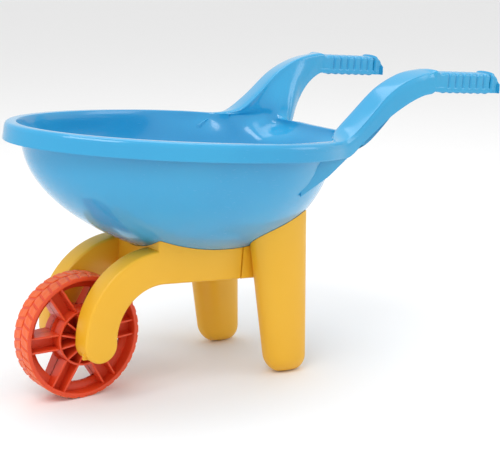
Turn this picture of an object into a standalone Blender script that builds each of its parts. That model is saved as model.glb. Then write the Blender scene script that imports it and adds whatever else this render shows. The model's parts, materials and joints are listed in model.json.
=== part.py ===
"""Child's moulded plastic wheelbarrow: blue tub with handles, yellow frame and legs, orange wheel.

World frame: metres, +Z up, handles towards +X, origin on the ground under the middle of the box.
The barrow is drawn level, with its origin on the wheel's axle, and an empty then tips it back
onto its legs by REST_PITCH.  "Left" is +Y, seen by the child who pushes it.
"""
import math

import bmesh
import bpy
import numpy as np
from mathutils import Matrix, Vector

# ---- driving dimensions, metres -------------------------------------------------------------
REST_PITCH = math.radians(5.5)   # the drawing's level against the ground, front end up

WHEEL_RADIUS = 0.0750
WHEEL_HALF_WIDTH = 0.0177
TREAD_THICKNESS = 0.0060         # rim, from its inner wall to the tread
WEB_THICKNESS = 0.0030
SPOKES = 6
SPOKE_WIDTH = 0.0200             # over the two ribs of a spoke
RIB_THICKNESS = 0.0026
WINDOW_INNER = 0.0375            # the windows between the spokes, radii
WINDOW_OUTER = 0.0585
WINDOW_STATIONS = 5              # round each window
HUB_RING_RADIUS = 0.0340
HUB_RING_HALF_WIDTH = 0.0195
HUB_RIBS = 12
SPOKE_HALF_DEPTH = 0.0140        # of the ribs, along the axle
BOSS_RADIUS = 0.0095
BOSS_HALF_WIDTH = 0.0305
AXLE_RADIUS = 0.0040

ARM_INNER_FACE = 0.0325          # |y| of the fork arms
ARM_THICKNESS = 0.0290
ARM_WIDTH = 0.0420               # across the arm, seen from the side
ARM_BEND = 0.0820                # radius of the arm's centre line, which ends on the axle
ARM_BEND_RISE = 0.0079           # height of the bend's centre over the axle
FRAME_WALL = 0.0030
CRADLE_FRONT = 0.0685            # x of the cradle's front wall
CRADLE_REAR = 0.1905             # x of the joint between the side rails and the legs

LEG_Y = 0.0750                   # |y| of the leg's centre
LEG_HALF_DEPTH = 0.0200
LEG_WALL = 0.0030
FOOT_ROUNDING = 0.0220
FOOT_FLAT = 0.0008               # taken off the round of the foot, so that it stands flat
FOOT_X = 0.2557                  # middle of the foot
FOOT_HALF_LENGTH = 0.0297
LEG_HEAD_FRONT = 0.1940          # x of the leg's front and rear edges at LEG_HEAD_Z
LEG_HEAD_REAR = 0.2724
LEG_HEAD_Z = 0.1100
LEG_TOP_Z = 0.1900               # over the tub's wall, which trims the leg

RIM_Z = 0.2508                   # top of the rim, over the axle
RIM_X = 0.1700                   # widest place of the rim
RIM_FRONT = 0.2690               # from there to the front edge
RIM_REAR = 0.1850                # ... and the rear semi-axis of the sides' curve
RIM_BACK_EDGE = 0.1770           # ... and to the straight rear edge between the handles
RIM_HALF_WIDTH = 0.1700
RIM_POWER = 1.97                 # 2 would be an ellipse
SKIRT_HEIGHT = 0.0205
SKIRT_DRAFT = 0.0015
RIM_LAND = 0.0150                # from the skirt in to the crisp inner edge
RIM_ROUNDING = 0.0050
TUB_WALL = 0.0026

BOWL_X = 0.1610                  # the bowl's outer surface: middle, and semi-axes at the rim
BOWL_FRONT = 0.2389
BOWL_REAR = 0.1656
BOWL_HALF_WIDTH = 0.1545
BOWL_DEPTH = 0.1622
BOWL_FLOOR_FRONT = 0.116         # the floor's size as a share of the bowl's at the rim
BOWL_FLOOR_REAR = 0.390
BOWL_FLOOR_SIDE = 0.100
BOWL_DROP_POWER = 2.33
BOWL_CURVE_POWER = 0.816

GRIP_Y = 0.1165                  # |y| of the handle's middle at the grip
GRIP_WIDTH = 0.0290
GRIP_START = 0.4165               # the step down to the ribbed grip
HANDLE_REACH_END = 0.4360        # x where the handle runs level
GRIP_END = 0.5290
GRIP_TOP_Z = 0.3358
GRIP_BOTTOM_Z = 0.3115
GRIP_LOBES = 7
LOBE_HEIGHT = 0.0022

GUSSET_Y = 0.1345                # outer face of the web under the handle's root
GUSSET_EDGE = ((0.2150, 0.1838), (0.2330, 0.1943), (0.2550, 0.2074), (0.2830, 0.2308))
GUSSET_END = 0.3050              # x where the web has run out into the handle's lower edge
GUSSET_FRONT = 0.2560            # x where its top meets the rim
TUB_BOSSES = ((0.1050, 0.0160), (0.1700, 0.0160))      # (x, |y|)
TUB_BOSS_RADIUS = 0.0045
SOCKET_WALL = 0.0025             # of the frame's sockets, which the bosses stand in
SOCKET_BOTTOM_Z = 0.0725

SPIGOT_LENGTH = 0.0420           # of the leg, inside the side rail
LEG_SHOULDER_LENGTH = 0.0300
LEG_SCREWS = 2
AXLE_RIB_Y = 0.0500              # |y| of the rib that holds the axle's end, inside the arm

SCREW_RADIUS = 0.0017
SCREW_HEAD_RADIUS = 0.0036
SCREW_HEAD_HEIGHT = 0.0022

# ---- clearances ------------------------------------------------------------------------------
GAP = 0.0003                     # between pieces that touch
TUB_GAP = 0.0005                 # between the tub and what carries it
SLIDE_GAP = 0.0005               # round a spigot in its channel
AXLE_PLAY = 0.0003               # round the axle

# ---- fineness of the mesh ---------------------------------------------------------------------
SIDE_STATIONS = 13               # round each side of the rim, front to handle
ROUND_SIDES = 24

ARM_OUTER_FACE = ARM_INNER_FACE + ARM_THICKNESS
ARM_CENTRE = Vector((math.sqrt(ARM_BEND ** 2 - ARM_BEND_RISE ** 2), 0, ARM_BEND_RISE))
RAIL_BOTTOM_Z = ARM_BEND_RISE + ARM_BEND - ARM_WIDTH / 2
BOWL_FLOOR_Z = RIM_Z - BOWL_DEPTH
ARM_HOLLOW = ARM_WIDTH / 2 - FRAME_WALL
RAIL_WALL = FRAME_WALL * 1.1     # of the cradle's side rails, a little thicker than the arms'
KEEPER_LENGTH = ARM_HOLLOW * 0.83      # along X, behind the axle
KEEPER_BELOW = ARM_HOLLOW * 0.44
KEEPER_ABOVE = ARM_HOLLOW * 1.20
KEEPER_SCREW_Z = KEEPER_ABOVE - 0.0060
KEEPER_Y = (ARM_INNER_FACE + FRAME_WALL + AXLE_RIB_Y) / 2
LEG_SCREW_Z = RAIL_BOTTOM_Z + 0.0095

BOWL_DROPS = (0.16, 0.30, 0.46, 0.62, 0.77, 0.89, 0.965, 1.0)
# (inset from the skirt, height over the rim's top) of the show surface, skirt to bowl
RIM_ROWS = (
    (0.0, -SKIRT_HEIGHT),
    (SKIRT_DRAFT * 0.5, -SKIRT_HEIGHT * 0.6),
    (SKIRT_DRAFT, -RIM_ROUNDING),
    (SKIRT_DRAFT + RIM_ROUNDING * 0.35, -RIM_ROUNDING * 0.3),
    (SKIRT_DRAFT + RIM_ROUNDING, 0.0),
    (RIM_LAND, 0.0),
    (RIM_LAND + 0.0022, -0.0100),
)
EDGE_ROW = 5                     # the rim's crisp inner edge
HANDLE_ROOT_X = 0.2680           # where the side's skirt turns into the handle's outer wall
BACK_EDGE_END = 0.0720           # |y| where the rear skirt turns into the handle's inner wall
HANDLE_FLARE = 0.0260            # how soon the outer wall runs straight
CROWN_STEP = 0.0030              # the handle's crown stands over the grip's
# shares of the way from the root to the grip, and of the rise
HANDLE_LOW = ((0.0, 0.0), (0.085, 0.015), (0.225, 0.22), (0.50, 0.65), (0.77, 0.93), (1.0, 1.0))
HANDLE_CROWN = ((0.0, 0.01), (0.10, 0.075), (0.27, 0.34), (0.46, 0.68), (0.66, 0.888),
                (0.88, 0.988), (1.0, 1.0))
SECTION_SHARES = (0.097, 0.20, 0.30, 0.385, 0.455, 0.513, 0.565, 0.613, 0.658, 0.705, 0.755,
                  0.808, 0.860)
# where the inner wall stands: (x, |y|) of its foot on the rim, front to rear
FOOT_PATH = ((0.2770, 0.1080), (0.2990, 0.0990), (0.3190, 0.0930))
# beyond the rim the inner wall's lower edge is free: (x, |y|, z)
FREE_PATH = ((0.3590, 0.0830, 0.2440), (0.3710, 0.0925, 0.2640), (0.3860, 0.0980, 0.2880),
             (0.4060, 0.1005, 0.3030))
INNER_FACE_ROOT = 0.0965         # |y| of the handle's inner face behind its root
EDGE_ROUNDING = 0.0060
GRIP_END_RADIUS = 0.0115
INNER_FLARE = 0.0300

YELLOW = (0.80, 0.42, 0.022)
BLUE = (0.045, 0.37, 0.70)
ORANGE = (0.76, 0.085, 0.018)


def clear_scene():
    for obj in list(bpy.data.objects):
        bpy.data.objects.remove(obj, do_unlink=True)


def make_material(name, colour, roughness, metallic=0.0):
    material = bpy.data.materials.new(name)
    material.use_nodes = True
    shader = material.node_tree.nodes["Principled BSDF"]
    shader.inputs["Base Color"].default_value = (*colour, 1.0)
    shader.inputs["Roughness"].default_value = roughness
    shader.inputs["Metallic"].default_value = metallic
    return material


def add_empty(name, location=(0, 0, 0), pitch=0.0, parent=None):
    empty = bpy.data.objects.new(name, None)
    empty.location = location
    empty.rotation_euler = (0, pitch, 0)
    empty.parent = parent
    bpy.context.collection.objects.link(empty)
    return empty


def bend_of(face):
    """How far a face's corners stand off its own plane."""
    middle = face.calc_center_median()
    return max(abs((vert.co - middle).dot(face.normal)) for vert in face.verts)


def add_mesh(name, verts, faces, material=None, parent=None):
    """A mesh of flat faces turned outwards, so that one cut after another stays exact."""
    mesh = bpy.data.meshes.new(name)
    mesh.from_pydata([tuple(v) for v in verts], [], faces)
    work = bmesh.new()
    work.from_mesh(mesh)
    bmesh.ops.remove_doubles(work, verts=work.verts, dist=1e-6)
    bent = [face for face in work.faces if len(face.verts) == 4 and bend_of(face) > 2e-5]
    bmesh.ops.triangulate(work, faces=bent, quad_method="SHORT_EDGE")
    bmesh.ops.connect_verts_nonplanar(work, angle_limit=math.radians(0.01), faces=work.faces)
    bmesh.ops.recalc_face_normals(work, faces=work.faces)
    work.to_mesh(mesh)
    work.free()
    mesh.shade_smooth()
    mesh.set_sharp_from_angle(angle=math.radians(35))
    if material:
        mesh.materials.append(material)
    obj = bpy.data.objects.new(name, mesh)
    obj.parent = parent
    bpy.context.collection.objects.link(obj)
    return obj


def boolean(target, tool, operation):
    """Cut target with tool, or join tool to it; the tool becomes a hidden guide."""
    modifier = target.modifiers.new(tool.name, "BOOLEAN")
    modifier.operation = operation
    modifier.solver = "EXACT"
    modifier.object = tool
    tool.hide_render = True
    tool.display_type = "WIRE"


def loft(rings):
    """Vertices and faces of a closed body through rings of equal length, with flat ends."""
    count = len(rings[0])
    verts = [point for ring in rings for point in ring]
    faces = []
    for k in range(len(rings) - 1):
        for i in range(count):
            j = (i + 1) % count
            faces.append((k * count + i, k * count + j, (k + 1) * count + j, (k + 1) * count + i))
    faces.append(tuple(range(count)))
    faces.append(tuple(range((len(rings) - 1) * count, len(rings) * count)))
    return verts, faces


def prism_y(outline, y_low, y_high):
    """An outline in (x, z), pulled along Y."""
    return loft([[(x, y, z) for x, z in outline] for y in (y_low, y_high)])


def box(low, high):
    outline = [(low[0], low[2]), (high[0], low[2]), (high[0], high[2]), (low[0], high[2])]
    return prism_y(outline, low[1], high[1])


def turned(profile, axis="Z", sides=ROUND_SIDES, centre=(0, 0, 0)):
    """A closed profile of (distance along the axis, radius), turned about an axis."""
    rings = []
    for along, radius in profile:
        ring = []
        for i in range(sides):
            angle = 2 * math.pi * i / sides
            a = radius * math.cos(angle)
            b = radius * math.sin(angle)
            ring.append({"X": (along, a, b), "Y": (b, along, a), "Z": (a, b, along)}[axis])
        rings.append([tuple(Vector(p) + Vector(centre)) for p in ring])
    return loft(rings)


def ring_body(inner, outer, y_low, y_high, sides):
    """A flat ring about the Y axis."""
    verts = []
    for radius, y in ((inner, y_low), (outer, y_low), (outer, y_high), (inner, y_high)):
        for i in range(sides):
            angle = 2 * math.pi * i / sides
            verts.append((radius * math.sin(angle), y, radius * math.cos(angle)))
    faces = []
    for k in range(4):
        n = (k + 1) % 4
        for i in range(sides):
            j = (i + 1) % sides
            faces.append((k * sides + i, k * sides + j, n * sides + j, n * sides + i))
    return verts, faces


# ---- the bowl's surface, which the tub, the frame and the legs all follow ---------------------
def bowl_point(angle, drop, offset=0.0):
    """A point of the bowl's outer surface; drop runs from 0 at the rim to 1 at the floor."""
    def surface(a, t):
        shape = max(0.0, 1 - t ** BOWL_DROP_POWER) ** BOWL_CURVE_POWER
        floor = BOWL_FLOOR_FRONT if math.cos(a) < 0 else BOWL_FLOOR_REAR
        length = BOWL_FRONT if math.cos(a) < 0 else BOWL_REAR
        x = BOWL_X + length * (floor + (1 - floor) * shape) * math.cos(a)
        y = BOWL_HALF_WIDTH * (BOWL_FLOOR_SIDE + (1 - BOWL_FLOOR_SIDE) * shape) * math.sin(a)
        return Vector((x, y, RIM_Z - BOWL_DEPTH * t))

    point = surface(angle, drop)
    if offset:
        step = 1e-3
        low = max(drop - step, 0.0)
        high = min(drop + step, 1.0)
        along = surface(angle + step, drop) - surface(angle - step, drop)
        down = surface(angle, high) - surface(angle, low)
        normal = down.cross(along).normalized()
        if normal.z > 0:
            normal = -normal
        point = point + normal * offset
    return point


def ellipse_station(angle):
    """A point of the skirt's curve in plan, and the direction inwards from it."""
    c = math.cos(angle)
    s = math.sin(angle)
    length = RIM_FRONT if c < 0 else RIM_REAR
    x = length * math.copysign(abs(c) ** (2 / RIM_POWER), c)
    y = RIM_HALF_WIDTH * abs(s) ** (2 / RIM_POWER)
    outward = Vector((x / length ** 2, y / RIM_HALF_WIDTH ** 2, 0)).normalized()
    return Vector((RIM_X + x, y, 0)), -outward


def side_stations():
    """The rim from its front edge to the root of the handle, y >= 0."""
    root = math.acos(min(0.99, (HANDLE_ROOT_X - RIM_X) / RIM_REAR) ** (RIM_POWER / 2))
    return [ellipse_station(math.pi + (root - math.pi) * i / SIDE_STATIONS)
            for i in range(SIDE_STATIONS + 1)]


def back_stations():
    """The straight rear edge, from the handle's inner wall to the middle."""
    back = RIM_X + RIM_BACK_EDGE
    stations = []
    for share in (1.0, 0.66, 0.33, 0.0):
        inward = Vector((-1, 0.4 if share == 1.0 else 0.0, 0))
        stations.append((Vector((back, BACK_EDGE_END * share, 0)), inward))
    return stations


def smooth_through(points):
    """A function of x: a smooth curve through a few (x, value) points."""
    xs = np.array([p[0] for p in points])
    vs = np.array([p[1] for p in points])
    steps = np.diff(vs) / np.diff(xs)
    slopes = np.concatenate([[steps[0]], (steps[:-1] + steps[1:]) / 2, [steps[-1]]])

    def value(x):
        x = min(max(x, xs[0]), xs[-1])
        k = min(int(np.searchsorted(xs, x, side="right")) - 1, len(xs) - 2)
        h = xs[k + 1] - xs[k]
        t = (x - xs[k]) / h
        a = vs[k] * (1 + 2 * t) * (1 - t) ** 2 + slopes[k] * h * t * (1 - t) ** 2
        b = vs[k + 1] * t ** 2 * (3 - 2 * t) + slopes[k + 1] * h * t ** 2 * (t - 1)
        return float(a + b)

    return value


def handle_curves():
    """The handle's crown, lower edge and outer wall along X, from the rim to the grip."""
    rise = GRIP_BOTTOM_Z - (RIM_Z - SKIRT_HEIGHT)
    reach = HANDLE_REACH_END - HANDLE_ROOT_X
    outer_y = GRIP_Y + GRIP_WIDTH / 2
    root_y = side_stations()[-1][0].y
    low = smooth_through([(HANDLE_ROOT_X + reach * share, RIM_Z - SKIRT_HEIGHT + rise * up)
                          for share, up in HANDLE_LOW])
    crown_rise = GRIP_TOP_Z + CROWN_STEP - RIM_Z
    crown = smooth_through([(HANDLE_ROOT_X + reach * share, RIM_Z + crown_rise * up)
                            for share, up in HANDLE_CROWN])

    def outer(x):
        return outer_y + (root_y - outer_y) * math.exp(-(x - HANDLE_ROOT_X) / HANDLE_FLARE)

    return low, crown, outer


def handle_ring(outer, inner, low, top, inner_top, foot):
    """Nine points of the handle's inverted U, from its outer lower edge to the inner foot."""
    width = (outer - inner).length
    rounding = min(EDGE_ROUNDING, width * 0.3)
    toward = (inner - outer).normalized()
    upper = max(top - rounding, low + 0.004)
    inner_round = inner_top - min(rounding, (inner_top - foot.z) * 0.4)

    def at(start, inset, z):
        point = start + toward * inset
        return Vector((point.x, point.y, z))

    middle = at(inner, 0.0, 0) * 0.5 + foot * 0.5
    return [
        at(outer, 0.0, low),
        at(outer, 0.0003, (low + upper) / 2),
        at(outer, 0.0007, upper),
        at(outer, rounding * 0.4, top - rounding * 0.25),
        at(outer, rounding, top),
        at(inner, -rounding * 0.8, inner_top),
        at(inner, -0.0005, inner_round),
        Vector((middle.x, middle.y, (inner_round + foot.z) / 2)),
        foot,
    ]


def handle_rings(feet):
    low, crown, outer_y = handle_curves()
    reach = HANDLE_REACH_END - HANDLE_ROOT_X
    grip_inner = GRIP_Y - GRIP_WIDTH / 2
    rings = []
    for share, foot in zip(SECTION_SHARES, feet):
        x = HANDLE_ROOT_X + reach * share
        inner_y = INNER_FACE_ROOT + (grip_inner - INNER_FACE_ROOT) * max(0, share - 0.2) / 0.8
        inner_y += INNER_FLARE * math.exp(-share * 13)
        outer = Vector((x, outer_y(x), 0))
        inner = Vector((x - 0.004, inner_y, 0))
        rings.append(handle_ring(outer, inner, low(x), crown(x) - 0.0012, crown(x) + 0.0008, foot))
    top = GRIP_TOP_Z
    for x, z in ((GRIP_START, top + CROWN_STEP), (GRIP_START + 0.0050, top + CROWN_STEP * 0.72),
                 (GRIP_START + 0.0090, top), (GRIP_END - GRIP_END_RADIUS, top),
                 (GRIP_END - GRIP_END_RADIUS * 0.3, top - GRIP_END_RADIUS * 0.3),
                 (GRIP_END, top - GRIP_END_RADIUS)):
        outer = Vector((x, GRIP_Y + GRIP_WIDTH / 2, 0))
        inner = Vector((x, grip_inner, 0))
        foot = Vector((x, grip_inner, GRIP_BOTTOM_Z))
        rings.append(handle_ring(outer, inner, GRIP_BOTTOM_Z, z, z, foot))
    return rings


def tub_sheet():
    """Half the tub's show surface, y >= 0, as an open sheet of vertices and faces."""
    verts = []
    faces = []

    def add(point):
        verts.append(Vector(point))
        return len(verts) - 1

    def bowl_column(edge):
        reach = BOWL_FRONT if edge.x < BOWL_X else BOWL_REAR
        angle = math.atan2(edge.y / BOWL_HALF_WIDTH, (edge.x - BOWL_X) / reach)
        return [add(bowl_point(angle, drop, -TUB_WALL)) for drop in BOWL_DROPS]

    def rim_column(start, inward):
        column = []
        for inset, z in RIM_ROWS:
            point = start + inward * inset
            column.append(add((point.x, point.y, RIM_Z + z)))
        return column + bowl_column(start + inward * RIM_LAND)

    def corner_column(foot):
        """Under the handle's inner wall the rim has no land: the bowl flares up to the wall."""
        column = [None] * EDGE_ROW + [add((foot[0], foot[1], RIM_Z))]
        bowl = bowl_column(Vector((foot[0], foot[1], 0)))
        neck = verts[column[-1]] * 0.45 + verts[bowl[0]] * 0.55
        column.append(add((neck.x, neck.y, RIM_Z - 0.0120)))
        return column + bowl

    side = [rim_column(*station) for station in side_stations()]
    corner = [corner_column(foot) for foot in FOOT_PATH]
    back = [rim_column(*station) for station in back_stations()]
    grid = side + corner + back
    for a, b in zip(grid[:-1], grid[1:]):
        for k in range(len(a) - 1):
            quad = (a[k], b[k], b[k + 1], a[k + 1])
            if None not in quad:
                faces.append(quad)
    middle_x = BOWL_X + (BOWL_REAR * BOWL_FLOOR_REAR - BOWL_FRONT * BOWL_FLOOR_FRONT) / 2
    middle = add((middle_x, 0, BOWL_FLOOR_Z + TUB_WALL))
    for a, b in zip(grid[:-1], grid[1:]):
        faces.append((a[-1], b[-1], middle))

    root = side[-1]
    end = back[0]
    feet = [column[EDGE_ROW] for column in corner] + end[EDGE_ROW::-1]
    feet += [add(point) for point in FREE_PATH]
    previous = root[:EDGE_ROW + 1] + [root[EDGE_ROW]] * 3
    rings = handle_rings([verts[i] for i in feet])
    for index, ring in enumerate(rings):
        current = [add(point) for point in ring[:-1]]
        current.append(feet[index] if index < len(feet) else add(ring[-1]))
        for k in range(len(current) - 1):
            corners = (previous[k], current[k], current[k + 1], previous[k + 1])
            faces.append(tuple(dict.fromkeys(corners)))
        previous = current
    last = len(previous) - 1
    for k in range(last // 2):
        cap = (previous[k], previous[last - k], previous[last - k - 1], previous[k + 1])
        faces.append(tuple(dict.fromkeys(cap)))
    return verts, faces


def bowl_angles():
    """Where the tub's columns stand round the bowl, so that what it rests on has its facets."""
    edges = [start + inward * RIM_LAND for start, inward in side_stations()]
    edges += [Vector((x, y, 0)) for x, y in FOOT_PATH]
    edges += [start + inward * RIM_LAND for start, inward in back_stations()]
    angles = []
    for edge in edges:
        reach = BOWL_FRONT if edge.x < BOWL_X else BOWL_REAR
        angles.append(math.atan2(edge.y / BOWL_HALF_WIDTH, (edge.x - BOWL_X) / reach))
    return angles + [-angle for angle in angles[-2:0:-1]]


def bowl_body(offset):
    """The bowl as a solid, grown or shrunk, and a little taller than its rim."""
    angles = bowl_angles()
    top = [bowl_point(angle, 0.0) for angle in angles]
    top = [p + Vector((p.x - BOWL_X, p.y, 0)).normalized() * offset for p in top]
    rings = [[p + Vector((0, 0, RIM_Z * 0.1)) for p in top], top]
    for drop in BOWL_DROPS:
        rings.append([bowl_point(angle, drop, offset) for angle in angles])
    return loft(rings)


def bowl_height(x, y):
    """Height of the bowl's outer surface over a point of the plan."""
    low, high = 0.0, 1.0
    for _ in range(30):
        drop = (low + high) / 2
        shape = max(0.0, 1 - drop ** BOWL_DROP_POWER) ** BOWL_CURVE_POWER
        floor = BOWL_FLOOR_FRONT if x < BOWL_X else BOWL_FLOOR_REAR
        length = (BOWL_FRONT if x < BOWL_X else BOWL_REAR) * (floor + (1 - floor) * shape)
        half = BOWL_HALF_WIDTH * (BOWL_FLOOR_SIDE + (1 - BOWL_FLOOR_SIDE) * shape)
        inside = ((x - BOWL_X) / length) ** 2 + (y / half) ** 2 < 1
        low, high = (drop, high) if inside else (low, drop)
    return RIM_Z - BOWL_DEPTH * low


def both_sides():
    return (("left", 1), ("right", -1))


def span(side, inner, outer):
    """A range of |y| on one side, low end first."""
    return sorted((side * inner, side * outer))


def make_tub(parent, material):
    verts, faces = tub_sheet()
    count = len(verts)
    both = faces + [tuple(i + count for i in face[::-1]) for face in faces]
    mirrored = [Vector((v.x, -v.y, v.z)) for v in verts]
    tub = add_mesh("tub", verts + mirrored, both, material, parent)
    wall = tub.modifiers.new("wall", "SOLIDIFY")
    wall.thickness = TUB_WALL
    wall.offset = -1
    wall.use_even_offset = True

    low, _, _ = handle_curves()
    web_top = RIM_Z - TUB_WALL * 0.5
    outline = list(GUSSET_EDGE)
    outline += [(GUSSET_END, low(GUSSET_END) + 0.0010), (GUSSET_END, web_top),
                (GUSSET_FRONT, web_top), (GUSSET_EDGE[0][0], web_top - 0.0300)]
    inner_bowl = add_mesh("bowl_core", *bowl_body(-TUB_WALL * 0.5), parent=parent)
    for name, side in both_sides():
        y_low, y_high = span(side, GUSSET_Y - TUB_WALL, GUSSET_Y)
        web = add_mesh("gusset_" + name, *prism_y(outline, y_low, y_high), parent=parent)
        boolean(web, inner_bowl, "DIFFERENCE")
        boolean(tub, web, "UNION")
    for index, (x, y) in enumerate(TUB_BOSSES):
        for name, side in both_sides():
            surface = bowl_height(x, y)
            bottom = SOCKET_BOTTOM_Z + SOCKET_WALL + GAP
            boss = turned([(bottom, TUB_BOSS_RADIUS), (surface + TUB_WALL * 0.4, TUB_BOSS_RADIUS)],
                          "Z", 16, (x, side * y, 0))
            hole = turned([(bottom - 0.01, SCREW_RADIUS + GAP), (surface - 0.001, SCREW_RADIUS + GAP)],
                          "Z", 12, (x, side * y, 0))
            boolean(tub, add_mesh(f"boss_{name}_{index}", *boss, parent=parent), "UNION")
            boolean(tub, add_mesh(f"boss_hole_{name}_{index}", *hole, parent=parent), "DIFFERENCE")
    return tub


def make_grip_insert(name, side, parent, material):
    """Closes the grip from below with a row of finger lobes."""
    low_x = GRIP_START + 0.0110
    high_x = GRIP_END - TUB_WALL - 0.0134
    pitch = (high_x - low_x) / GRIP_LOBES
    outline = [(high_x, GRIP_BOTTOM_Z + 0.0050), (low_x, GRIP_BOTTOM_Z + 0.0050)]
    for lobe in range(GRIP_LOBES):
        for step in range(5 if lobe == GRIP_LOBES - 1 else 4):
            share = step / 4
            depth = LOBE_HEIGHT * math.sin(math.pi * share) ** 0.7 if 0 < share < 1 else 0.0
            outline.append((low_x + pitch * (lobe + share), GRIP_BOTTOM_Z - depth))
    half = GRIP_WIDTH / 2 - TUB_WALL - 2 * GAP
    y_low, y_high = span(side, GRIP_Y - half, GRIP_Y + half)
    return add_mesh("grip_insert_" + name, *prism_y(outline, y_low, y_high), material, parent)


# ---- frame --------------------------------------------------------------------------------------
def arm_outline(outer, inner, end):
    """A fork arm from the side: a bend of two radii with a round end on the axle."""
    start = math.pi / 2
    stop = math.pi + math.asin(ARM_BEND_RISE / ARM_BEND)
    steps = 10
    points = []
    for i in range(steps + 1):
        angle = start + (stop - start) * i / steps
        points.append((ARM_CENTRE.x + outer * math.cos(angle),
                       ARM_CENTRE.z + outer * math.sin(angle)))
    for i in range(1, steps):
        angle = stop + math.pi * i / steps
        points.append((end * math.cos(angle), end * math.sin(angle)))
    for i in range(steps + 1):
        angle = stop + (start - stop) * i / steps
        points.append((ARM_CENTRE.x + inner * math.cos(angle),
                       ARM_CENTRE.z + inner * math.sin(angle)))
    return points


def make_frame(parent, material):
    half = ARM_WIDTH / 2
    wall = FRAME_WALL
    top = RIM_Z - 0.06
    cradle = box((CRADLE_FRONT, -ARM_OUTER_FACE, RAIL_BOTTOM_Z), (CRADLE_REAR, ARM_OUTER_FACE, top))
    frame = add_mesh("frame", *cradle, material, parent)
    roof = add_mesh("cradle_roof", *bowl_body(TUB_GAP + wall), parent=parent)
    trim = add_mesh("bowl_trim", *bowl_body(TUB_GAP), parent=parent)
    outline = arm_outline(ARM_BEND + half, ARM_BEND - half, half)
    hollow = arm_outline(ARM_BEND + half - wall, ARM_BEND - half - 0.006, half - wall)
    for name, side in both_sides():
        y_low, y_high = span(side, ARM_INNER_FACE, ARM_OUTER_FACE)
        arm = add_mesh("arm_" + name, *prism_y(outline, y_low, y_high), parent=parent)
        boolean(frame, arm, "UNION")
    bays = [("middle", -ARM_INNER_FACE, ARM_INNER_FACE, CRADLE_REAR - wall)]
    for name, side in both_sides():
        y_low, y_high = span(side, ARM_INNER_FACE + RAIL_WALL, ARM_OUTER_FACE - RAIL_WALL)
        bays.append((name, y_low, y_high, CRADLE_REAR + 0.01))
        y_low, y_high = span(side, ARM_INNER_FACE + wall, ARM_OUTER_FACE - wall)
        bend = add_mesh("arm_hollow_" + name, *prism_y(hollow, y_low, y_high), parent=parent)
        boolean(frame, bend, "DIFFERENCE")
    for name, y_low, y_high, rear in bays:
        bay = add_mesh("bay_" + name,
                       *box((CRADLE_FRONT + wall, y_low, RAIL_BOTTOM_Z - 0.02), (rear, y_high, top - 0.005)),
                       parent=parent)
        boolean(bay, roof, "DIFFERENCE")
        boolean(frame, bay, "DIFFERENCE")
    for index, (x, y) in enumerate(TUB_BOSSES):
        for name, side in both_sides():
            place = (x, side * y, 0)
            bore = TUB_BOSS_RADIUS + SLIDE_GAP
            label = f"{name}_{index}"
            socket = turned([(SOCKET_BOTTOM_Z, bore + SOCKET_WALL),
                             (bowl_height(x, y), bore + SOCKET_WALL)], "Z", 16, place)
            well = turned([(SOCKET_BOTTOM_Z + SOCKET_WALL, bore), (top + 0.01, bore)], "Z", 16, place)
            hole = turned([(SOCKET_BOTTOM_Z - 0.005, SCREW_RADIUS + GAP),
                           (SOCKET_BOTTOM_Z + SOCKET_WALL + 0.001, SCREW_RADIUS + GAP)], "Z", 12, place)
            boolean(frame, add_mesh("socket_" + label, *socket, parent=parent), "UNION")
            boolean(frame, add_mesh("well_" + label, *well, parent=parent), "DIFFERENCE")
            boolean(frame, add_mesh("socket_hole_" + label, *hole, parent=parent), "DIFFERENCE")
    for name, side in both_sides():
        add_axle_seat(frame, name, side, parent)
        for index, x in enumerate(leg_screw_places()):
            y_low, y_high = span(side, ARM_INNER_FACE - 0.005, ARM_INNER_FACE + RAIL_WALL + 0.005)
            hole = turned([(y_low, SCREW_RADIUS + GAP), (y_high, SCREW_RADIUS + GAP)], "Y", 12,
                          (x, 0, LEG_SCREW_Z))
            boolean(frame, add_mesh(f"leg_hole_{name}_{index}", *hole, parent=parent), "DIFFERENCE")
    boolean(frame, trim, "DIFFERENCE")
    return frame


def add_axle_seat(frame, name, side, parent):
    """Inside an arm: a rib that carries the axle's end, the axle's slot and the keeper's boss."""
    half = ARM_WIDTH / 2
    reach = ARM_CENTRE.x - (ARM_BEND - half)
    y_low, y_high = span(side, AXLE_RIB_Y, AXLE_RIB_Y + FRAME_WALL)
    rib = box((-half + FRAME_WALL * 0.5, y_low, -half + FRAME_WALL * 0.5), (reach - 0.004, y_high, 0.020))
    boolean(frame, add_mesh("axle_rib_" + name, *rib, parent=parent), "UNION")
    boss = turned([(-half + FRAME_WALL * 0.3, 0.0042), (-GAP, 0.0042)], "X", 12,
                  (0, side * KEEPER_Y, KEEPER_SCREW_Z))
    boolean(frame, add_mesh("keeper_boss_" + name, *boss, parent=parent), "UNION")
    hole = turned([(-0.0130, SCREW_RADIUS + GAP), (0.005, SCREW_RADIUS + GAP)], "X", 12,
                  (0, side * KEEPER_Y, KEEPER_SCREW_Z))
    boolean(frame, add_mesh("keeper_boss_hole_" + name, *hole, parent=parent), "DIFFERENCE")
    slot_half = AXLE_RADIUS + AXLE_PLAY
    outline = [(reach + 0.01, slot_half), (reach + 0.01, -slot_half)]
    for i in range(9):
        angle = -math.pi / 2 - math.pi * i / 8
        outline.append((slot_half * math.cos(angle), slot_half * math.sin(angle)))
    y_low, y_high = span(side, ARM_INNER_FACE - 0.01, ARM_OUTER_FACE - FRAME_WALL)
    slot = add_mesh("axle_slot_" + name, *prism_y(outline, y_low, y_high), parent=parent)
    boolean(frame, slot, "DIFFERENCE")


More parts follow.
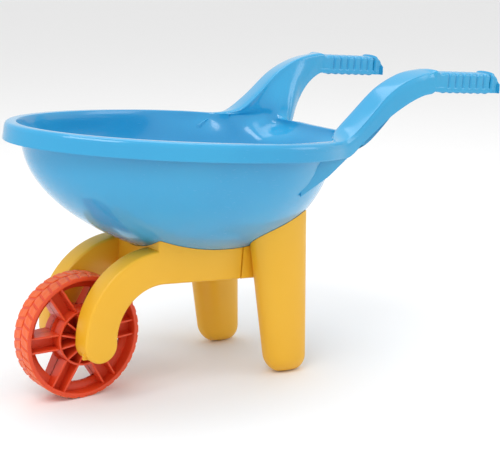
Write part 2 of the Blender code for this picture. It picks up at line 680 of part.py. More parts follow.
def make_keeper(name, side, parent, material):
    y_low, y_high = span(side, ARM_INNER_FACE + FRAME_WALL + GAP, AXLE_RIB_Y - GAP)
    keeper = add_mesh("axle_keeper_" + name,
                      *box((0, y_low, -KEEPER_BELOW), (KEEPER_LENGTH, y_high, KEEPER_ABOVE)),
                      material, parent)
    saddle = turned([(y_low - 0.01, AXLE_RADIUS + AXLE_PLAY), (y_high + 0.01, AXLE_RADIUS + AXLE_PLAY)],
                    "Y", ROUND_SIDES)
    boolean(keeper, add_mesh("saddle_" + name, *saddle, parent=parent), "DIFFERENCE")
    hole = turned([(-0.005, SCREW_RADIUS + GAP), (KEEPER_LENGTH + 0.005, SCREW_RADIUS + GAP)], "X", 12,
                  (0, side * KEEPER_Y, KEEPER_SCREW_Z))
    boolean(keeper, add_mesh("keeper_hole_" + name, *hole, parent=parent), "DIFFERENCE")
    return keeper


def make_screw(name, place, direction, length, parent, material):
    """A pan-head screw: place is the middle of the head's underside, direction its way in."""
    profile = [(-SCREW_HEAD_HEIGHT, SCREW_HEAD_RADIUS * 0.8), (-SCREW_HEAD_HEIGHT * 0.6, SCREW_HEAD_RADIUS),
               (0, SCREW_HEAD_RADIUS), (0, SCREW_RADIUS), (length - 0.0012, SCREW_RADIUS),
               (length, SCREW_RADIUS * 0.4)]
    verts, faces = turned(profile, "Z", 12)
    turn = Vector((0, 0, 1)).rotation_difference(Vector(direction)).to_matrix().to_4x4()
    turn = Matrix.Translation(place) @ turn
    return add_mesh(name, [turn @ Vector(v) for v in verts], faces, material, parent)


# ---- legs ---------------------------------------------------------------------------------------
def leg_rings(foot_z, inset, bottom, top):
    """Rounded sections of a leg, from the foot up; the leg tapers and leans back."""
    def section(z, shrink):
        share = (z - foot_z) / (LEG_HEAD_Z - foot_z)
        front = FOOT_X - FOOT_HALF_LENGTH
        rear = FOOT_X + FOOT_HALF_LENGTH
        front += (LEG_HEAD_FRONT - front) * share
        rear += (LEG_HEAD_REAR - rear) * share
        along = (rear - front) / 2 - shrink
        across = LEG_HALF_DEPTH * (0.96 + 0.08 * share) - shrink
        ring = []
        for i in range(ROUND_SIDES):
            angle = 2 * math.pi * i / ROUND_SIDES
            c = math.cos(angle)
            s = math.sin(angle)
            x = (front + rear) / 2 + along * math.copysign(abs(c) ** 0.9, c)
            ring.append(Vector((x, LEG_Y + across * math.copysign(abs(s) ** 0.9, s), z)))
        return ring

    rings = []
    rounding = FOOT_ROUNDING - inset
    for i in range(6):
        angle = math.pi / 2 * i / 6
        z = foot_z - rounding * math.cos(angle)
        if z >= bottom:
            rings.append(section(z, inset + rounding * (1 - math.sin(angle)) * 0.82))
    for z in (foot_z, foot_z + 0.05, LEG_HEAD_Z, top):
        rings.append(section(z, inset))
    return rings


def level_foot():
    """Height of the foot's rounding over the axle, so that the foot meets the ground."""
    foot_z = -WHEEL_RADIUS + FOOT_ROUNDING
    for _ in range(4):
        lowest = min(p.z * math.cos(REST_PITCH) - p.x * math.sin(REST_PITCH)
                     for ring in leg_rings(foot_z, 0.0, -1.0, LEG_TOP_Z) for p in ring)
        foot_z -= lowest + WHEEL_RADIUS + FOOT_FLAT
    return foot_z


def leg_screw_places():
    first = CRADLE_REAR - SPIGOT_LENGTH
    return [first + SPIGOT_LENGTH * (i + 0.5) / (LEG_SCREWS + 0.4) for i in range(LEG_SCREWS)]


def make_leg(name, side, parent, ground, material):
    foot_z = level_foot()
    flip = Matrix.Scale(side, 4, (0, 1, 0))
    outer = [[flip @ p for p in ring] for ring in leg_rings(foot_z, 0.0, -1.0, LEG_TOP_Z)]
    inner = [[flip @ p for p in ring] for ring in leg_rings(foot_z, LEG_WALL, -1.0, LEG_TOP_Z + 0.01)]
    leg = add_mesh("leg_" + name, *loft(outer), material, parent)
    hollow = add_mesh("leg_hollow_" + name, *loft(inner), parent=parent)
    boolean(leg, hollow, "DIFFERENCE")
    y_low, y_high = span(side, ARM_INNER_FACE, ARM_OUTER_FACE)
    start = CRADLE_REAR + GAP
    shoulder = box((start, y_low, RAIL_BOTTOM_Z), (start + LEG_SHOULDER_LENGTH, y_high, RIM_Z - 0.08))
    boolean(leg, add_mesh("shoulder_" + name, *shoulder, parent=parent), "UNION")
    y_low, y_high = span(side, ARM_INNER_FACE + RAIL_WALL + SLIDE_GAP,
                         ARM_OUTER_FACE - RAIL_WALL - SLIDE_GAP)
    spigot = add_mesh("spigot_" + name,
                      *box((CRADLE_REAR - SPIGOT_LENGTH, y_low, RAIL_BOTTOM_Z + 0.002),
                           (start + 0.005, y_high, RIM_Z - 0.08)), parent=parent)
    roof = add_mesh("spigot_roof_" + name, *bowl_body(TUB_GAP + FRAME_WALL + SLIDE_GAP), parent=parent)
    boolean(spigot, roof, "DIFFERENCE")
    boolean(leg, spigot, "UNION")
    for index, x in enumerate(leg_screw_places()):
        ends = span(side, ARM_INNER_FACE, leg_screw_tip() + 0.001)
        hole = turned([(y, SCREW_RADIUS + GAP) for y in ends], "Y", 12, (x, 0, LEG_SCREW_Z))
        boolean(leg, add_mesh(f"spigot_hole_{name}_{index}", *hole, parent=parent), "DIFFERENCE")
    trim = add_mesh("leg_trim_" + name, *bowl_body(TUB_GAP), parent=parent)
    boolean(leg, trim, "DIFFERENCE")
    y_low, y_high = span(side, LEG_Y - 0.05, LEG_Y + 0.05)
    floor = box((FOOT_X - 0.08, y_low, -WHEEL_RADIUS - 0.02), (FOOT_X + 0.08, y_high, -WHEEL_RADIUS))
    boolean(leg, add_mesh("ground_" + name, *floor, parent=ground), "DIFFERENCE")
    return leg


def leg_screw_tip():
    return ARM_INNER_FACE + RAIL_WALL + SLIDE_GAP + 0.0100


# ---- wheel --------------------------------------------------------------------------------------
def radial_plate(angle, sideways, r_low, r_high, half_low, half_high, thickness):
    """A rib that runs outwards; its half depths along the axle may differ at its ends."""
    outward = Vector((math.cos(angle), 0, math.sin(angle)))
    across = Vector((-math.sin(angle), 0, math.cos(angle)))
    along = Vector((0, 1, 0))
    rings = []
    for radius, half in ((r_low, half_low), (r_high, half_high)):
        middle = outward * radius + across * sideways
        rings.append([middle + across * thickness / 2 * a + along * half * b
                      for a, b in ((-1, -1), (1, -1), (1, 1), (-1, 1))])
    return loft(rings)


def joined(bodies):
    verts = []
    faces = []
    for body_verts, body_faces in bodies:
        start = len(verts)
        verts += body_verts
        faces += [tuple(i + start for i in face) for face in body_faces]
    return verts, faces


def web_body(outer_radius):
    """The thin disc with a window between each two spokes, which ends inside the spokes' ribs."""
    rib_middle = (SPOKE_WIDTH - RIB_THICKNESS) / 2
    stations = []
    for i in range(SPOKES):
        middle = 2 * math.pi * (i + 0.5) / SPOKES
        for k in range(WINDOW_STATIONS):
            share = 2 * k / (WINDOW_STATIONS - 1) - 1
            stations.append([middle + share * (math.pi / SPOKES - math.asin(rib_middle / radius))
                             for radius in (WINDOW_INNER, WINDOW_OUTER)])
    verts = []
    for inner_angle, outer_angle in stations:
        for radius, angle in ((BOSS_RADIUS / 2, inner_angle), (WINDOW_INNER, inner_angle),
                              (WINDOW_OUTER, outer_angle), (outer_radius, outer_angle)):
            for y in (-WEB_THICKNESS / 2, WEB_THICKNESS / 2):
                verts.append(Vector((radius * math.cos(angle), y, radius * math.sin(angle))))
    count = len(stations)
    faces = []
    for i in range(count):
        here = 8 * i
        there = 8 * ((i + 1) % count)
        spoke = i % WINDOW_STATIONS == WINDOW_STATIONS - 1
        for ring in (0, 1, 2) if spoke else (0, 2):
            low = 2 * ring
            faces.append((here + low, here + low + 2, there + low + 2, there + low))
            faces.append((here + low + 1, there + low + 1, there + low + 3, here + low + 3))
        faces.append((here, there, there + 1, here + 1))
        faces.append((here + 6, here + 7, there + 7, there + 6))
        if not spoke:
            faces.append((here + 2, here + 3, there + 3, there + 2))
            faces.append((here + 4, there + 4, there + 5, here + 5))
        else:
            faces.append((here + 2, here + 3, here + 5, here + 4))
            faces.append((there + 2, there + 4, there + 5, there + 3))
    return verts, faces


def make_wheel(parent, material):
    sides = 48
    rim_inner = WHEEL_RADIUS - TREAD_THICKNESS
    wheel = add_mesh("wheel", *ring_body(rim_inner, WHEEL_RADIUS, -WHEEL_HALF_WIDTH, WHEEL_HALF_WIDTH,
                                         sides), material, parent)
    boolean(wheel, add_mesh("wheel_web", *web_body(rim_inner + 0.002), parent=parent), "UNION")
    ring = ring_body(HUB_RING_RADIUS - RIB_THICKNESS, HUB_RING_RADIUS, -HUB_RING_HALF_WIDTH,
                     HUB_RING_HALF_WIDTH, 36)
    boolean(wheel, add_mesh("hub_ring", *ring, parent=parent), "UNION")
    offset = (SPOKE_WIDTH - RIB_THICKNESS) / 2
    spoke_ribs = [radial_plate(2 * math.pi * i / SPOKES, offset * turn, HUB_RING_RADIUS - RIB_THICKNESS,
                               rim_inner + 0.002, HUB_RING_HALF_WIDTH * 0.9, SPOKE_HALF_DEPTH,
                               RIB_THICKNESS)
                  for i in range(SPOKES) for turn in (-1, 1)]
    boolean(wheel, add_mesh("spoke_ribs", *joined(spoke_ribs), parent=parent), "UNION")
    boss = turned([(-BOSS_HALF_WIDTH, BOSS_RADIUS * 0.86), (0, BOSS_RADIUS * 1.1),
                   (BOSS_HALF_WIDTH, BOSS_RADIUS * 0.86)], "Y", ROUND_SIDES)
    boolean(wheel, add_mesh("wheel_boss", *boss, parent=parent), "UNION")
    hub_ribs = [radial_plate(2 * math.pi * (i + 0.5) / HUB_RIBS, 0, BOSS_RADIUS * 0.8,
                             HUB_RING_RADIUS - RIB_THICKNESS / 2, BOSS_HALF_WIDTH - 0.002,
                             HUB_RING_HALF_WIDTH - 0.0005, RIB_THICKNESS * 0.8)
                for i in range(HUB_RIBS)]
    boolean(wheel, add_mesh("hub_ribs", *joined(hub_ribs), parent=parent), "UNION")
    bore = turned([(-0.05, AXLE_RADIUS + AXLE_PLAY), (0.05, AXLE_RADIUS + AXLE_PLAY)], "Y", ROUND_SIDES)
    boolean(wheel, add_mesh("axle_bore", *bore, parent=parent), "DIFFERENCE")
    return wheel


def centre_over_origin(root):
    """Bring the middle of the whole object's box over the origin."""
    bpy.context.view_layer.update()
    graph = bpy.context.evaluated_depsgraph_get()
    xs = []
    for obj in bpy.context.scene.objects:
        if obj.type == "MESH" and not obj.hide_render:
            shape = obj.evaluated_get(graph)
            xs += [(obj.matrix_world @ vertex.co).x for vertex in shape.data.vertices]
    root.location.x -= (min(xs) + max(xs)) / 2
    bpy.context.view_layer.update()


def main():
    clear_scene()
    blue = make_material("blue_plastic", BLUE, 0.25)
    yellow = make_material("yellow_plastic", YELLOW, 0.45)
    orange = make_material("orange_plastic", ORANGE, 0.4)
    steel = make_material("zinc_steel", (0.6, 0.6, 0.62), 0.35, 1.0)
    root = add_empty("ground_frame", (0, 0, WHEEL_RADIUS))
    barrow = add_empty("barrow_frame", pitch=REST_PITCH, parent=root)
    make_tub(barrow, blue)
    make_frame(barrow, yellow)
    make_wheel(root, orange)
    half_axle = ARM_OUTER_FACE - FRAME_WALL - GAP
    add_mesh("axle", *turned([(-half_axle, AXLE_RADIUS), (half_axle, AXLE_RADIUS)], "Y"), steel, barrow)
    for name, side in both_sides():
        make_grip_insert(name, side, barrow, blue)
        make_leg(name, side, barrow, root, yellow)
        make_keeper(name, side, barrow, yellow)
        make_screw("keeper_screw_" + name, (KEEPER_LENGTH + GAP, side * KEEPER_Y, KEEPER_SCREW_Z),
                   (-1, 0, 0), KEEPER_LENGTH + 0.0095, barrow, steel)
        for end, (x, y) in zip(("front", "rear"), TUB_BOSSES):
            make_screw(f"tub_screw_{end}_{name}", (x, side * y, SOCKET_BOTTOM_Z - GAP), (0, 0, 1),
                       0.0120, barrow, steel)
        for end, x in zip(("front", "rear"), leg_screw_places()):
            make_screw(f"leg_screw_{end}_{name}", (x, side * (ARM_INNER_FACE - GAP), LEG_SCREW_Z),
                       (0, side, 0), leg_screw_tip() - ARM_INNER_FACE, barrow, steel)
    centre_over_origin(root)


main()
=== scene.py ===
# %% [markdown]
# # A child's plastic wheelbarrow
# The barrow is four injection mouldings: a blue tub that runs out into two handles, a yellow
# forked frame, two yellow legs and an orange wheel on a steel axle.  The measured model is
# loaded first and stays as it is.  Everything below is a smoother, more detailed skin for one of
# its parts, drawn to the same sizes in the same place.

# %% Load the measured model
import json
import math

import bmesh
import bpy
import numpy as np
from mathutils import Matrix, Vector


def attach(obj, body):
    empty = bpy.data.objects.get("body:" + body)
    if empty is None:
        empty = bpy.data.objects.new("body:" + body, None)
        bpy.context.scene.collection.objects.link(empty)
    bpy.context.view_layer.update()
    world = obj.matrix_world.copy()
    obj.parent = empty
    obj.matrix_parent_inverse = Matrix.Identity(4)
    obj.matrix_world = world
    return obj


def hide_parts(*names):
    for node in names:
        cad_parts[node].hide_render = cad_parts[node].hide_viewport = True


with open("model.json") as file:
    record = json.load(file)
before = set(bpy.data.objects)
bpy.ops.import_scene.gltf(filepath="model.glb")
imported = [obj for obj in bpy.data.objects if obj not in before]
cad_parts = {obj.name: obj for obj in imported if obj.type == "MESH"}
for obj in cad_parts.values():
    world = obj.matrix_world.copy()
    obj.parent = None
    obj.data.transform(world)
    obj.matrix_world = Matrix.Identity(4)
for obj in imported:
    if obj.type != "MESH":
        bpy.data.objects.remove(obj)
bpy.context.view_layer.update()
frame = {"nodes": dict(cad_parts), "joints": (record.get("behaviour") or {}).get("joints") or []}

# %% [markdown]
# ## A level drawing board
# The barrow stands tipped back on its legs.  It is far easier to draw it level, with the origin
# on the axle, and to tip each finished mesh afterwards.  The pieces' objects stay unturned, so
# the turn goes into the vertices.

# %% The level frame and its way into the world
AXLE = Vector(frame["joints"][0]["pos_m"])
REST_PITCH = math.radians(5.5)
LEVEL = Matrix.Translation(AXLE) @ Matrix.Rotation(REST_PITCH, 4, "Y")
print("axle", [round(v, 4) for v in AXLE])


# %% Helpers: a closed mesh, a lofted body, a baked modifier stack
def new_piece(name, verts, faces, material=None, sharp=35):
    mesh = bpy.data.meshes.new(name)
    mesh.from_pydata([tuple(v) for v in verts], [], faces)
    work = bmesh.new()
    work.from_mesh(mesh)
    bmesh.ops.remove_doubles(work, verts=work.verts, dist=1e-6)
    bmesh.ops.recalc_face_normals(work, faces=work.faces)
    work.to_mesh(mesh)
    work.free()
    mesh.shade_smooth()
    mesh.set_sharp_from_angle(angle=math.radians(sharp))
    if material:
        mesh.materials.append(material)
    piece = bpy.data.objects.new(name, mesh)
    bpy.context.scene.collection.objects.link(piece)
    return piece


def settle(piece, *scaffold):
    """Swap live modifiers for the mesh that they make, and clear away what they used."""
    graph = bpy.context.evaluated_depsgraph_get()
    mesh = bpy.data.meshes.new_from_object(piece.evaluated_get(graph), depsgraph=graph)
    piece.modifiers.clear()
    piece.data = mesh
    for tool in scaffold:
        bpy.data.objects.remove(tool, do_unlink=True)
    return piece


def tip(piece):
    piece.data.transform(LEVEL)
    return piece


def loft(rings):
    count = len(rings[0])
    verts = [point for ring in rings for point in ring]
    faces = []
    for k in range(len(rings) - 1):
        for i in range(count):
            j = (i + 1) % count
            faces.append((k * count + i, k * count + j, (k + 1) * count + j, (k + 1) * count + i))
    faces.append(tuple(range(count)))
    faces.append(tuple(range((len(rings) - 1) * count, len(rings) * count)))
    return verts, faces


def prism_y(outline, y_low, y_high):
    return loft([[(x, y, z) for x, z in outline] for y in (y_low, y_high)])


def block(low, high):
    return prism_y([(low[0], low[2]), (high[0], low[2]), (high[0], high[2]), (low[0], high[2])],
                   low[1], high[1])


def turned(profile, axis, sides=40, centre=(0, 0, 0)):
    rings = []
    for along, radius in profile:
        ring = []
        for i in range(sides):
            angle = 2 * math.pi * i / sides
            a = radius * math.cos(angle)
            b = radius * math.sin(angle)
            ring.append({"X": (along, a, b), "Y": (b, along, a), "Z": (a, b, along)}[axis])
        rings.append([tuple(Vector(p) + Vector(centre)) for p in ring])
    return loft(rings)


def boolean(target, tool, operation="DIFFERENCE"):
    modifier = target.modifiers.new(operation.lower(), "BOOLEAN")
    modifier.operation = operation
    modifier.solver = "EXACT"
    modifier.object = tool
    return tool


def soften(piece, width, segments=3, angle=40):
    bevel = piece.modifiers.new("soft_edges", "BEVEL")
    bevel.width = width
    bevel.segments = segments
    bevel.limit_method = "ANGLE"
    bevel.angle_limit = math.radians(angle)
    return piece


SIDES = (("left", 1), ("right", -1))


# %% [markdown]
# ## The plastics
# All the mouldings are polypropylene coloured right through.  A plain Principled shader
# would do, but real mouldings also have faint flow waves, a fine texture, dust
# and hairline scuffs.  So each plastic is one small recipe: a wave and a grain for the bump, a
# blotch that dulls the gloss, and thin scratches, all on Object coordinates so that they stay on
# the piece when it moves.

# %% A recipe for coloured plastic
def plastic(name, colour, deep, roughness, grain, coat=0.0):
    material = bpy.data.materials.new(name)
    material.use_nodes = True
    tree = material.node_tree
    shader = tree.nodes["Principled BSDF"]
    shader.inputs["Metallic"].default_value = 0.0
    shader.inputs["IOR"].default_value = 1.49
    shader.inputs["Coat Weight"].default_value = coat
    shader.inputs["Coat Roughness"].default_value = 0.05
    place = tree.nodes.new("ShaderNodeTexCoord")

    def noise(scale, detail=3.0, stretch=None):
        node = tree.nodes.new("ShaderNodeTexNoise")
        node.inputs["Scale"].default_value = scale
        node.inputs["Detail"].default_value = detail
        source = place.outputs["Object"]
        if stretch:
            mapping = tree.nodes.new("ShaderNodeMapping")
            mapping.inputs["Scale"].default_value = stretch
            tree.links.new(source, mapping.inputs["Vector"])
            source = mapping.outputs["Vector"]
        tree.links.new(source, node.inputs["Vector"])
        return node.outputs["Fac"]

    def spread(value, low, high, a, b):
        node = tree.nodes.new("ShaderNodeMapRange")
        for socket, number in zip(("From Min", "From Max", "To Min", "To Max"), (low, high, a, b)):
            node.inputs[socket].default_value = number
        tree.links.new(value, node.inputs["Value"])
        return node.outputs["Result"]

    def add(a, b):
        node = tree.nodes.new("ShaderNodeMath")
        tree.links.new(a, node.inputs[0])
        tree.links.new(b, node.inputs[1])
        return node.outputs["Value"]

    mix = tree.nodes.new("ShaderNodeMix")
    mix.data_type = "RGBA"
    mix.inputs["A"].default_value = (*colour, 1)
    mix.inputs["B"].default_value = (*deep, 1)
    tree.links.new(spread(noise(7.0), 0.35, 0.75, 0.0, 0.55), mix.inputs["Factor"])
    tree.links.new(mix.outputs["Result"], shader.inputs["Base Color"])

    scuffs = spread(noise(60.0, 2.0, (1.0, 14.0, 14.0)), 0.66, 0.72, 0.0, 0.10)
    dust = spread(noise(14.0, 5.0), 0.40, 0.72, roughness, roughness + 0.11)
    tree.links.new(add(scuffs, dust), shader.inputs["Roughness"])

    height = add(spread(noise(9.0, 1.0), 0.0, 1.0, 0.0, 1.0), spread(noise(1400.0, 2.0), 0, 1, 0, grain))
    bump = tree.nodes.new("ShaderNodeBump")
    bump.inputs["Strength"].default_value = 0.16
    bump.inputs["Distance"].default_value = 0.0006
    tree.links.new(height, bump.inputs["Height"])
    tree.links.new(bump.outputs["Normal"], shader.inputs["Normal"])
    print("plastic", name, "roughness", roughness)
    return material


blue = plastic("blue_polypropylene", (0.030, 0.360, 0.640), (0.018, 0.290, 0.580), 0.14, 0.02, 0.35)
yellow = plastic("yellow_polypropylene", (0.840, 0.450, 0.018), (0.800, 0.405, 0.012), 0.38, 0.10)
orange = plastic("orange_polypropylene", (0.760, 0.070, 0.016), (0.700, 0.056, 0.012), 0.36, 0.08)
# Painted light: the tread gets a lighter orange than the rest of the wheel, standing in for the light that
# falls on the tread; the wheel is one orange moulding, and only its rougher, grainier finish is a real
# texture.
painted_light_tread_orange = plastic("orange_tread_painted_light", (0.860, 0.140, 0.030), (0.800, 0.110, 0.024), 0.42, 0.12)


# %% [markdown]
# ## Zinc-plated steel
# The axle and the screws are bright zinc plate.  Plating is never even: it has a faint grain and
# cloudy patches, which only change how sharp the reflections are.

# %% The plated steel of the axle and the screws
def plated_steel():
    material = bpy.data.materials.new("zinc_plate")
    material.use_nodes = True
    tree = material.node_tree
    shader = tree.nodes["Principled BSDF"]
    shader.inputs["Base Color"].default_value = (0.62, 0.63, 0.66, 1)
    shader.inputs["Metallic"].default_value = 1.0
    place = tree.nodes.new("ShaderNodeTexCoord")
    cloud = tree.nodes.new("ShaderNodeTexNoise")
    cloud.inputs["Scale"].default_value = 180.0
    spread = tree.nodes.new("ShaderNodeMapRange")
    spread.inputs["To Min"].default_value = 0.22
    spread.inputs["To Max"].default_value = 0.46
    tree.links.new(place.outputs["Object"], cloud.inputs["Vector"])
    tree.links.new(cloud.outputs["Fac"], spread.inputs["Value"])
    tree.links.new(spread.outputs["Result"], shader.inputs["Roughness"])
    bump = tree.nodes.new("ShaderNodeBump")
    bump.inputs["Strength"].default_value = 0.08
    bump.inputs["Distance"].default_value = 0.0002
    tree.links.new(cloud.outputs["Fac"], bump.inputs["Height"])
    tree.links.new(bump.outputs["Normal"], shader.inputs["Normal"])
    return material


steel = plated_steel()
print("steel", steel.name)

# %% [markdown]
# ## The tub
# The tub is a deep oval bowl with a broad rolled rim, and its rim runs on into the handles.  It
# is one moulding with one even wall, so it is drawn the way the mould is cut: as the show
# surface only, a coarse cage of a few hundred points.  Subdivision makes the cage smooth,
# Solidify gives it its wall, and a small Bevel rounds the lip.

# %% Sizes of the rim and the bowl
RIM_Z = 0.2508
RIM_X = 0.1700
RIM_FRONT = 0.26895
RIM_REAR = 0.1850
RIM_BACK_EDGE = 0.1770
RIM_HALF_WIDTH = 0.1695
RIM_POWER = 1.97
SKIRT_HEIGHT = 0.0205
SKIRT_DRAFT = 0.0015
RIM_LAND = 0.0150
RIM_ROUNDING = 0.0050
TUB_WALL = 0.0026
TUB_GAP = 0.0005
BOWL_X = 0.1610
BOWL_FRONT = 0.2389
BOWL_REAR = 0.1656
BOWL_HALF_WIDTH = 0.1545
BOWL_DEPTH = 0.1622
BOWL_FLOOR_FRONT = 0.116
BOWL_FLOOR_REAR = 0.390
BOWL_FLOOR_SIDE = 0.100
BOWL_DROP_POWER = 2.33
BOWL_CURVE_POWER = 0.816
print("bowl", BOWL_FRONT + BOWL_REAR, "long,", 2 * BOWL_HALF_WIDTH, "wide,", BOWL_DEPTH, "deep")


# %% The bowl's surface
def bowl_surface(angle, drop):
    shape = max(0.0, 1 - drop ** BOWL_DROP_POWER) ** BOWL_CURVE_POWER
    floor = BOWL_FLOOR_FRONT if math.cos(angle) < 0 else BOWL_FLOOR_REAR
    length = BOWL_FRONT if math.cos(angle) < 0 else BOWL_REAR
    x = BOWL_X + length * (floor + (1 - floor) * shape) * math.cos(angle)
    y = BOWL_HALF_WIDTH * (BOWL_FLOOR_SIDE + (1 - BOWL_FLOOR_SIDE) * shape) * math.sin(angle)
    return Vector((x, y, RIM_Z - BOWL_DEPTH * drop))


def bowl_point(angle, drop, offset=0.0):
    """A point of the bowl's outer surface, moved out along its normal by offset."""
    step = 1e-3
    along = bowl_surface(angle + step, drop) - bowl_surface(angle - step, drop)
    down = bowl_surface(angle, min(drop + step, 1.0)) - bowl_surface(angle, max(drop - step, 0.0))
    normal = down.cross(along).normalized()
    if normal.z > 0:
        normal = -normal
    return bowl_surface(angle, drop) + normal * offset


def bowl_body(name, offset, around=96):
    """The bowl as a fine solid, which trims what it rests on."""
    angles = [2 * math.pi * i / around for i in range(around)]
    top = [bowl_surface(angle, 0.0) for angle in angles]
    top = [p + Vector((p.x - BOWL_X, p.y, 0)).normalized() * offset for p in top]
    rings = [[p + Vector((0, 0, 0.025)) for p in top], top]
    for k in range(1, 25):
        rings.append([bowl_point(angle, math.sin(math.pi / 2 * k / 24), offset) for angle in angles])
    return new_piece(name, *loft(rings))


# %% Stations round the rim
def ellipse_station(angle):
    """A point of the skirt's curve in plan, and the direction inwards from it."""
    c = math.cos(angle)
    s = math.sin(angle)
    length = RIM_FRONT if c < 0 else RIM_REAR
    x = length * math.copysign(abs(c) ** (2 / RIM_POWER), c)
    y = RIM_HALF_WIDTH * abs(s) ** (2 / RIM_POWER)
    outward = Vector((x / length ** 2, y / RIM_HALF_WIDTH ** 2, 0)).normalized()
    return Vector((RIM_X + x, y, 0)), -outward


HANDLE_ROOT_X = 0.2680
BACK_EDGE_END = 0.0720
SIDE_STATIONS = 13
BOWL_DROPS = (0.16, 0.30, 0.46, 0.62, 0.77, 0.89, 0.965, 1.0)
RIM_ROWS = ((0.0, -SKIRT_HEIGHT), (SKIRT_DRAFT * 0.5, -SKIRT_HEIGHT * 0.6),
            (SKIRT_DRAFT, -RIM_ROUNDING), (SKIRT_DRAFT + RIM_ROUNDING * 0.35, -RIM_ROUNDING * 0.3),
            (SKIRT_DRAFT + RIM_ROUNDING, 0.0), (RIM_LAND, 0.0), (RIM_LAND + 0.0022, -0.0100))
EDGE_ROW = 5


def side_stations():
    root = math.acos(min(0.99, (HANDLE_ROOT_X - RIM_X) / RIM_REAR) ** (RIM_POWER / 2))
    return [ellipse_station(math.pi + (root - math.pi) * i / SIDE_STATIONS)
            for i in range(SIDE_STATIONS + 1)]


def back_stations():
    stations = []
    for share in (1.0, 0.66, 0.33, 0.0):
        inward = Vector((-1, 0.4 if share == 1.0 else 0.0, 0))
        stations.append((Vector((RIM_X + RIM_BACK_EDGE, BACK_EDGE_END * share, 0)), inward))
    return stations


print("stations", len(side_stations()) + len(back_stations()))

# %% [markdown]
# ## The handles
# Each handle is an upside-down trough.  Its crown grows out of the rim's land, its outer wall out
# of the skirt, and its inner wall stands on the rim's inner edge.  Rings of points across the
# handle follow three curves: crown, lower edge and outer wall.  At the grip the trough narrows a
# little seven times, which makes the finger ribs.

# %% Sizes of the handles
GRIP_Y = 0.1165
GRIP_WIDTH = 0.0290
HANDLE_REACH_END = 0.4360
GRIP_START = 0.4165
GRIP_END = 0.5266
GRIP_TOP_Z = 0.3358
GRIP_BOTTOM_Z = 0.3115
GRIP_END_RADIUS = 0.0115
CROWN_STEP = 0.0028
EDGE_ROUNDING = 0.0060
INNER_FACE_ROOT = 0.0965
INNER_FLARE = 0.0300
HANDLE_FLARE = 0.0260
RIBS = 7
FIRST_GROOVE = 0.4396
RIB_PITCH = 0.0122
GROOVE_DEPTH = 0.0017
GROOVE_HALF = 0.0019
BAND_HEIGHT = 0.0052
HANDLE_LOW = ((0.0, 0.0), (0.085, 0.015), (0.225, 0.22), (0.50, 0.65), (0.77, 0.93), (1.0, 1.0))
HANDLE_CROWN = ((0.0, 0.01), (0.10, 0.075), (0.27, 0.34), (0.46, 0.68), (0.66, 0.888),
                (0.88, 0.988), (1.0, 1.0))
SECTION_SHARES = (0.097, 0.20, 0.30, 0.385, 0.455, 0.513, 0.565, 0.613, 0.658, 0.705, 0.755, 0.808,
                  0.860)
FOOT_PATH = ((0.2770, 0.1080), (0.2990, 0.0990), (0.3190, 0.0930))
FREE_PATH = ((0.3590, 0.0830, 0.2440), (0.3710, 0.0925, 0.2640), (0.3860, 0.0980, 0.2880),
             (0.4030, 0.1010, 0.3040))
print("grip", GRIP_END - GRIP_START, "m long with", RIBS, "grooves")


# %% Curves that the handle follows
def smooth_through(points):
    """A function of x: a smooth curve through a few (x, value) points."""
    xs = np.array([p[0] for p in points])
    vs = np.array([p[1] for p in points])
    steps = np.diff(vs) / np.diff(xs)
    slopes = np.concatenate([[steps[0]], (steps[:-1] + steps[1:]) / 2, [steps[-1]]])

    def value(x):
        x = min(max(x, xs[0]), xs[-1])
        k = min(int(np.searchsorted(xs, x, side="right")) - 1, len(xs) - 2)
        h = xs[k + 1] - xs[k]
        t = (x - xs[k]) / h
        a = vs[k] * (1 + 2 * t) * (1 - t) ** 2 + slopes[k] * h * t * (1 - t) ** 2
        b = vs[k + 1] * t ** 2 * (3 - 2 * t) + slopes[k + 1] * h * t ** 2 * (t - 1)
        return float(a + b)

    return value


reach = HANDLE_REACH_END - HANDLE_ROOT_X
low_rise = GRIP_BOTTOM_Z - (RIM_Z - SKIRT_HEIGHT)
crown_rise = GRIP_TOP_Z + CROWN_STEP - RIM_Z
low_curve = smooth_through([(HANDLE_ROOT_X + reach * s, RIM_Z - SKIRT_HEIGHT + low_rise * up)
                            for s, up in HANDLE_LOW])
crown_curve = smooth_through([(HANDLE_ROOT_X + reach * s, RIM_Z + crown_rise * up)
                              for s, up in HANDLE_CROWN])


def outer_wall(x):
    straight = GRIP_Y + GRIP_WIDTH / 2
    root_y = side_stations()[-1][0].y
    return straight + (root_y - straight) * math.exp(-(x - HANDLE_ROOT_X) / HANDLE_FLARE)


# %% Rings across the handle and the grip
def handle_ring(outer, inner, low, top, inner_top, foot):
    """Ten points of the upside-down trough, from its outer lower edge to the inner foot."""
    width = (outer - inner).length
    rounding = min(EDGE_ROUNDING, width * 0.3)
    toward = (inner - outer).normalized()
    upper = max(top - rounding, low + 0.004)
    inner_round = inner_top - min(rounding, (inner_top - foot.z) * 0.4)

    def at(start, inset, z):
        point = start + toward * inset
        return Vector((point.x, point.y, z))

    def wall(share):
        point = at(inner, 0.0, 0) * (1 - share) + foot * share
        return Vector((point.x, point.y, inner_round + (foot.z - inner_round) * share))

    return [at(outer, 0.0, low), at(outer, 0.0003, (low + upper) / 2), at(outer, 0.0007, upper),
            at(outer, rounding * 0.4, top - rounding * 0.25), at(outer, rounding, top),
            at(inner, -rounding * 0.8, inner_top), at(inner, -0.0005, inner_round),
            wall(0.36), wall(0.68), foot]


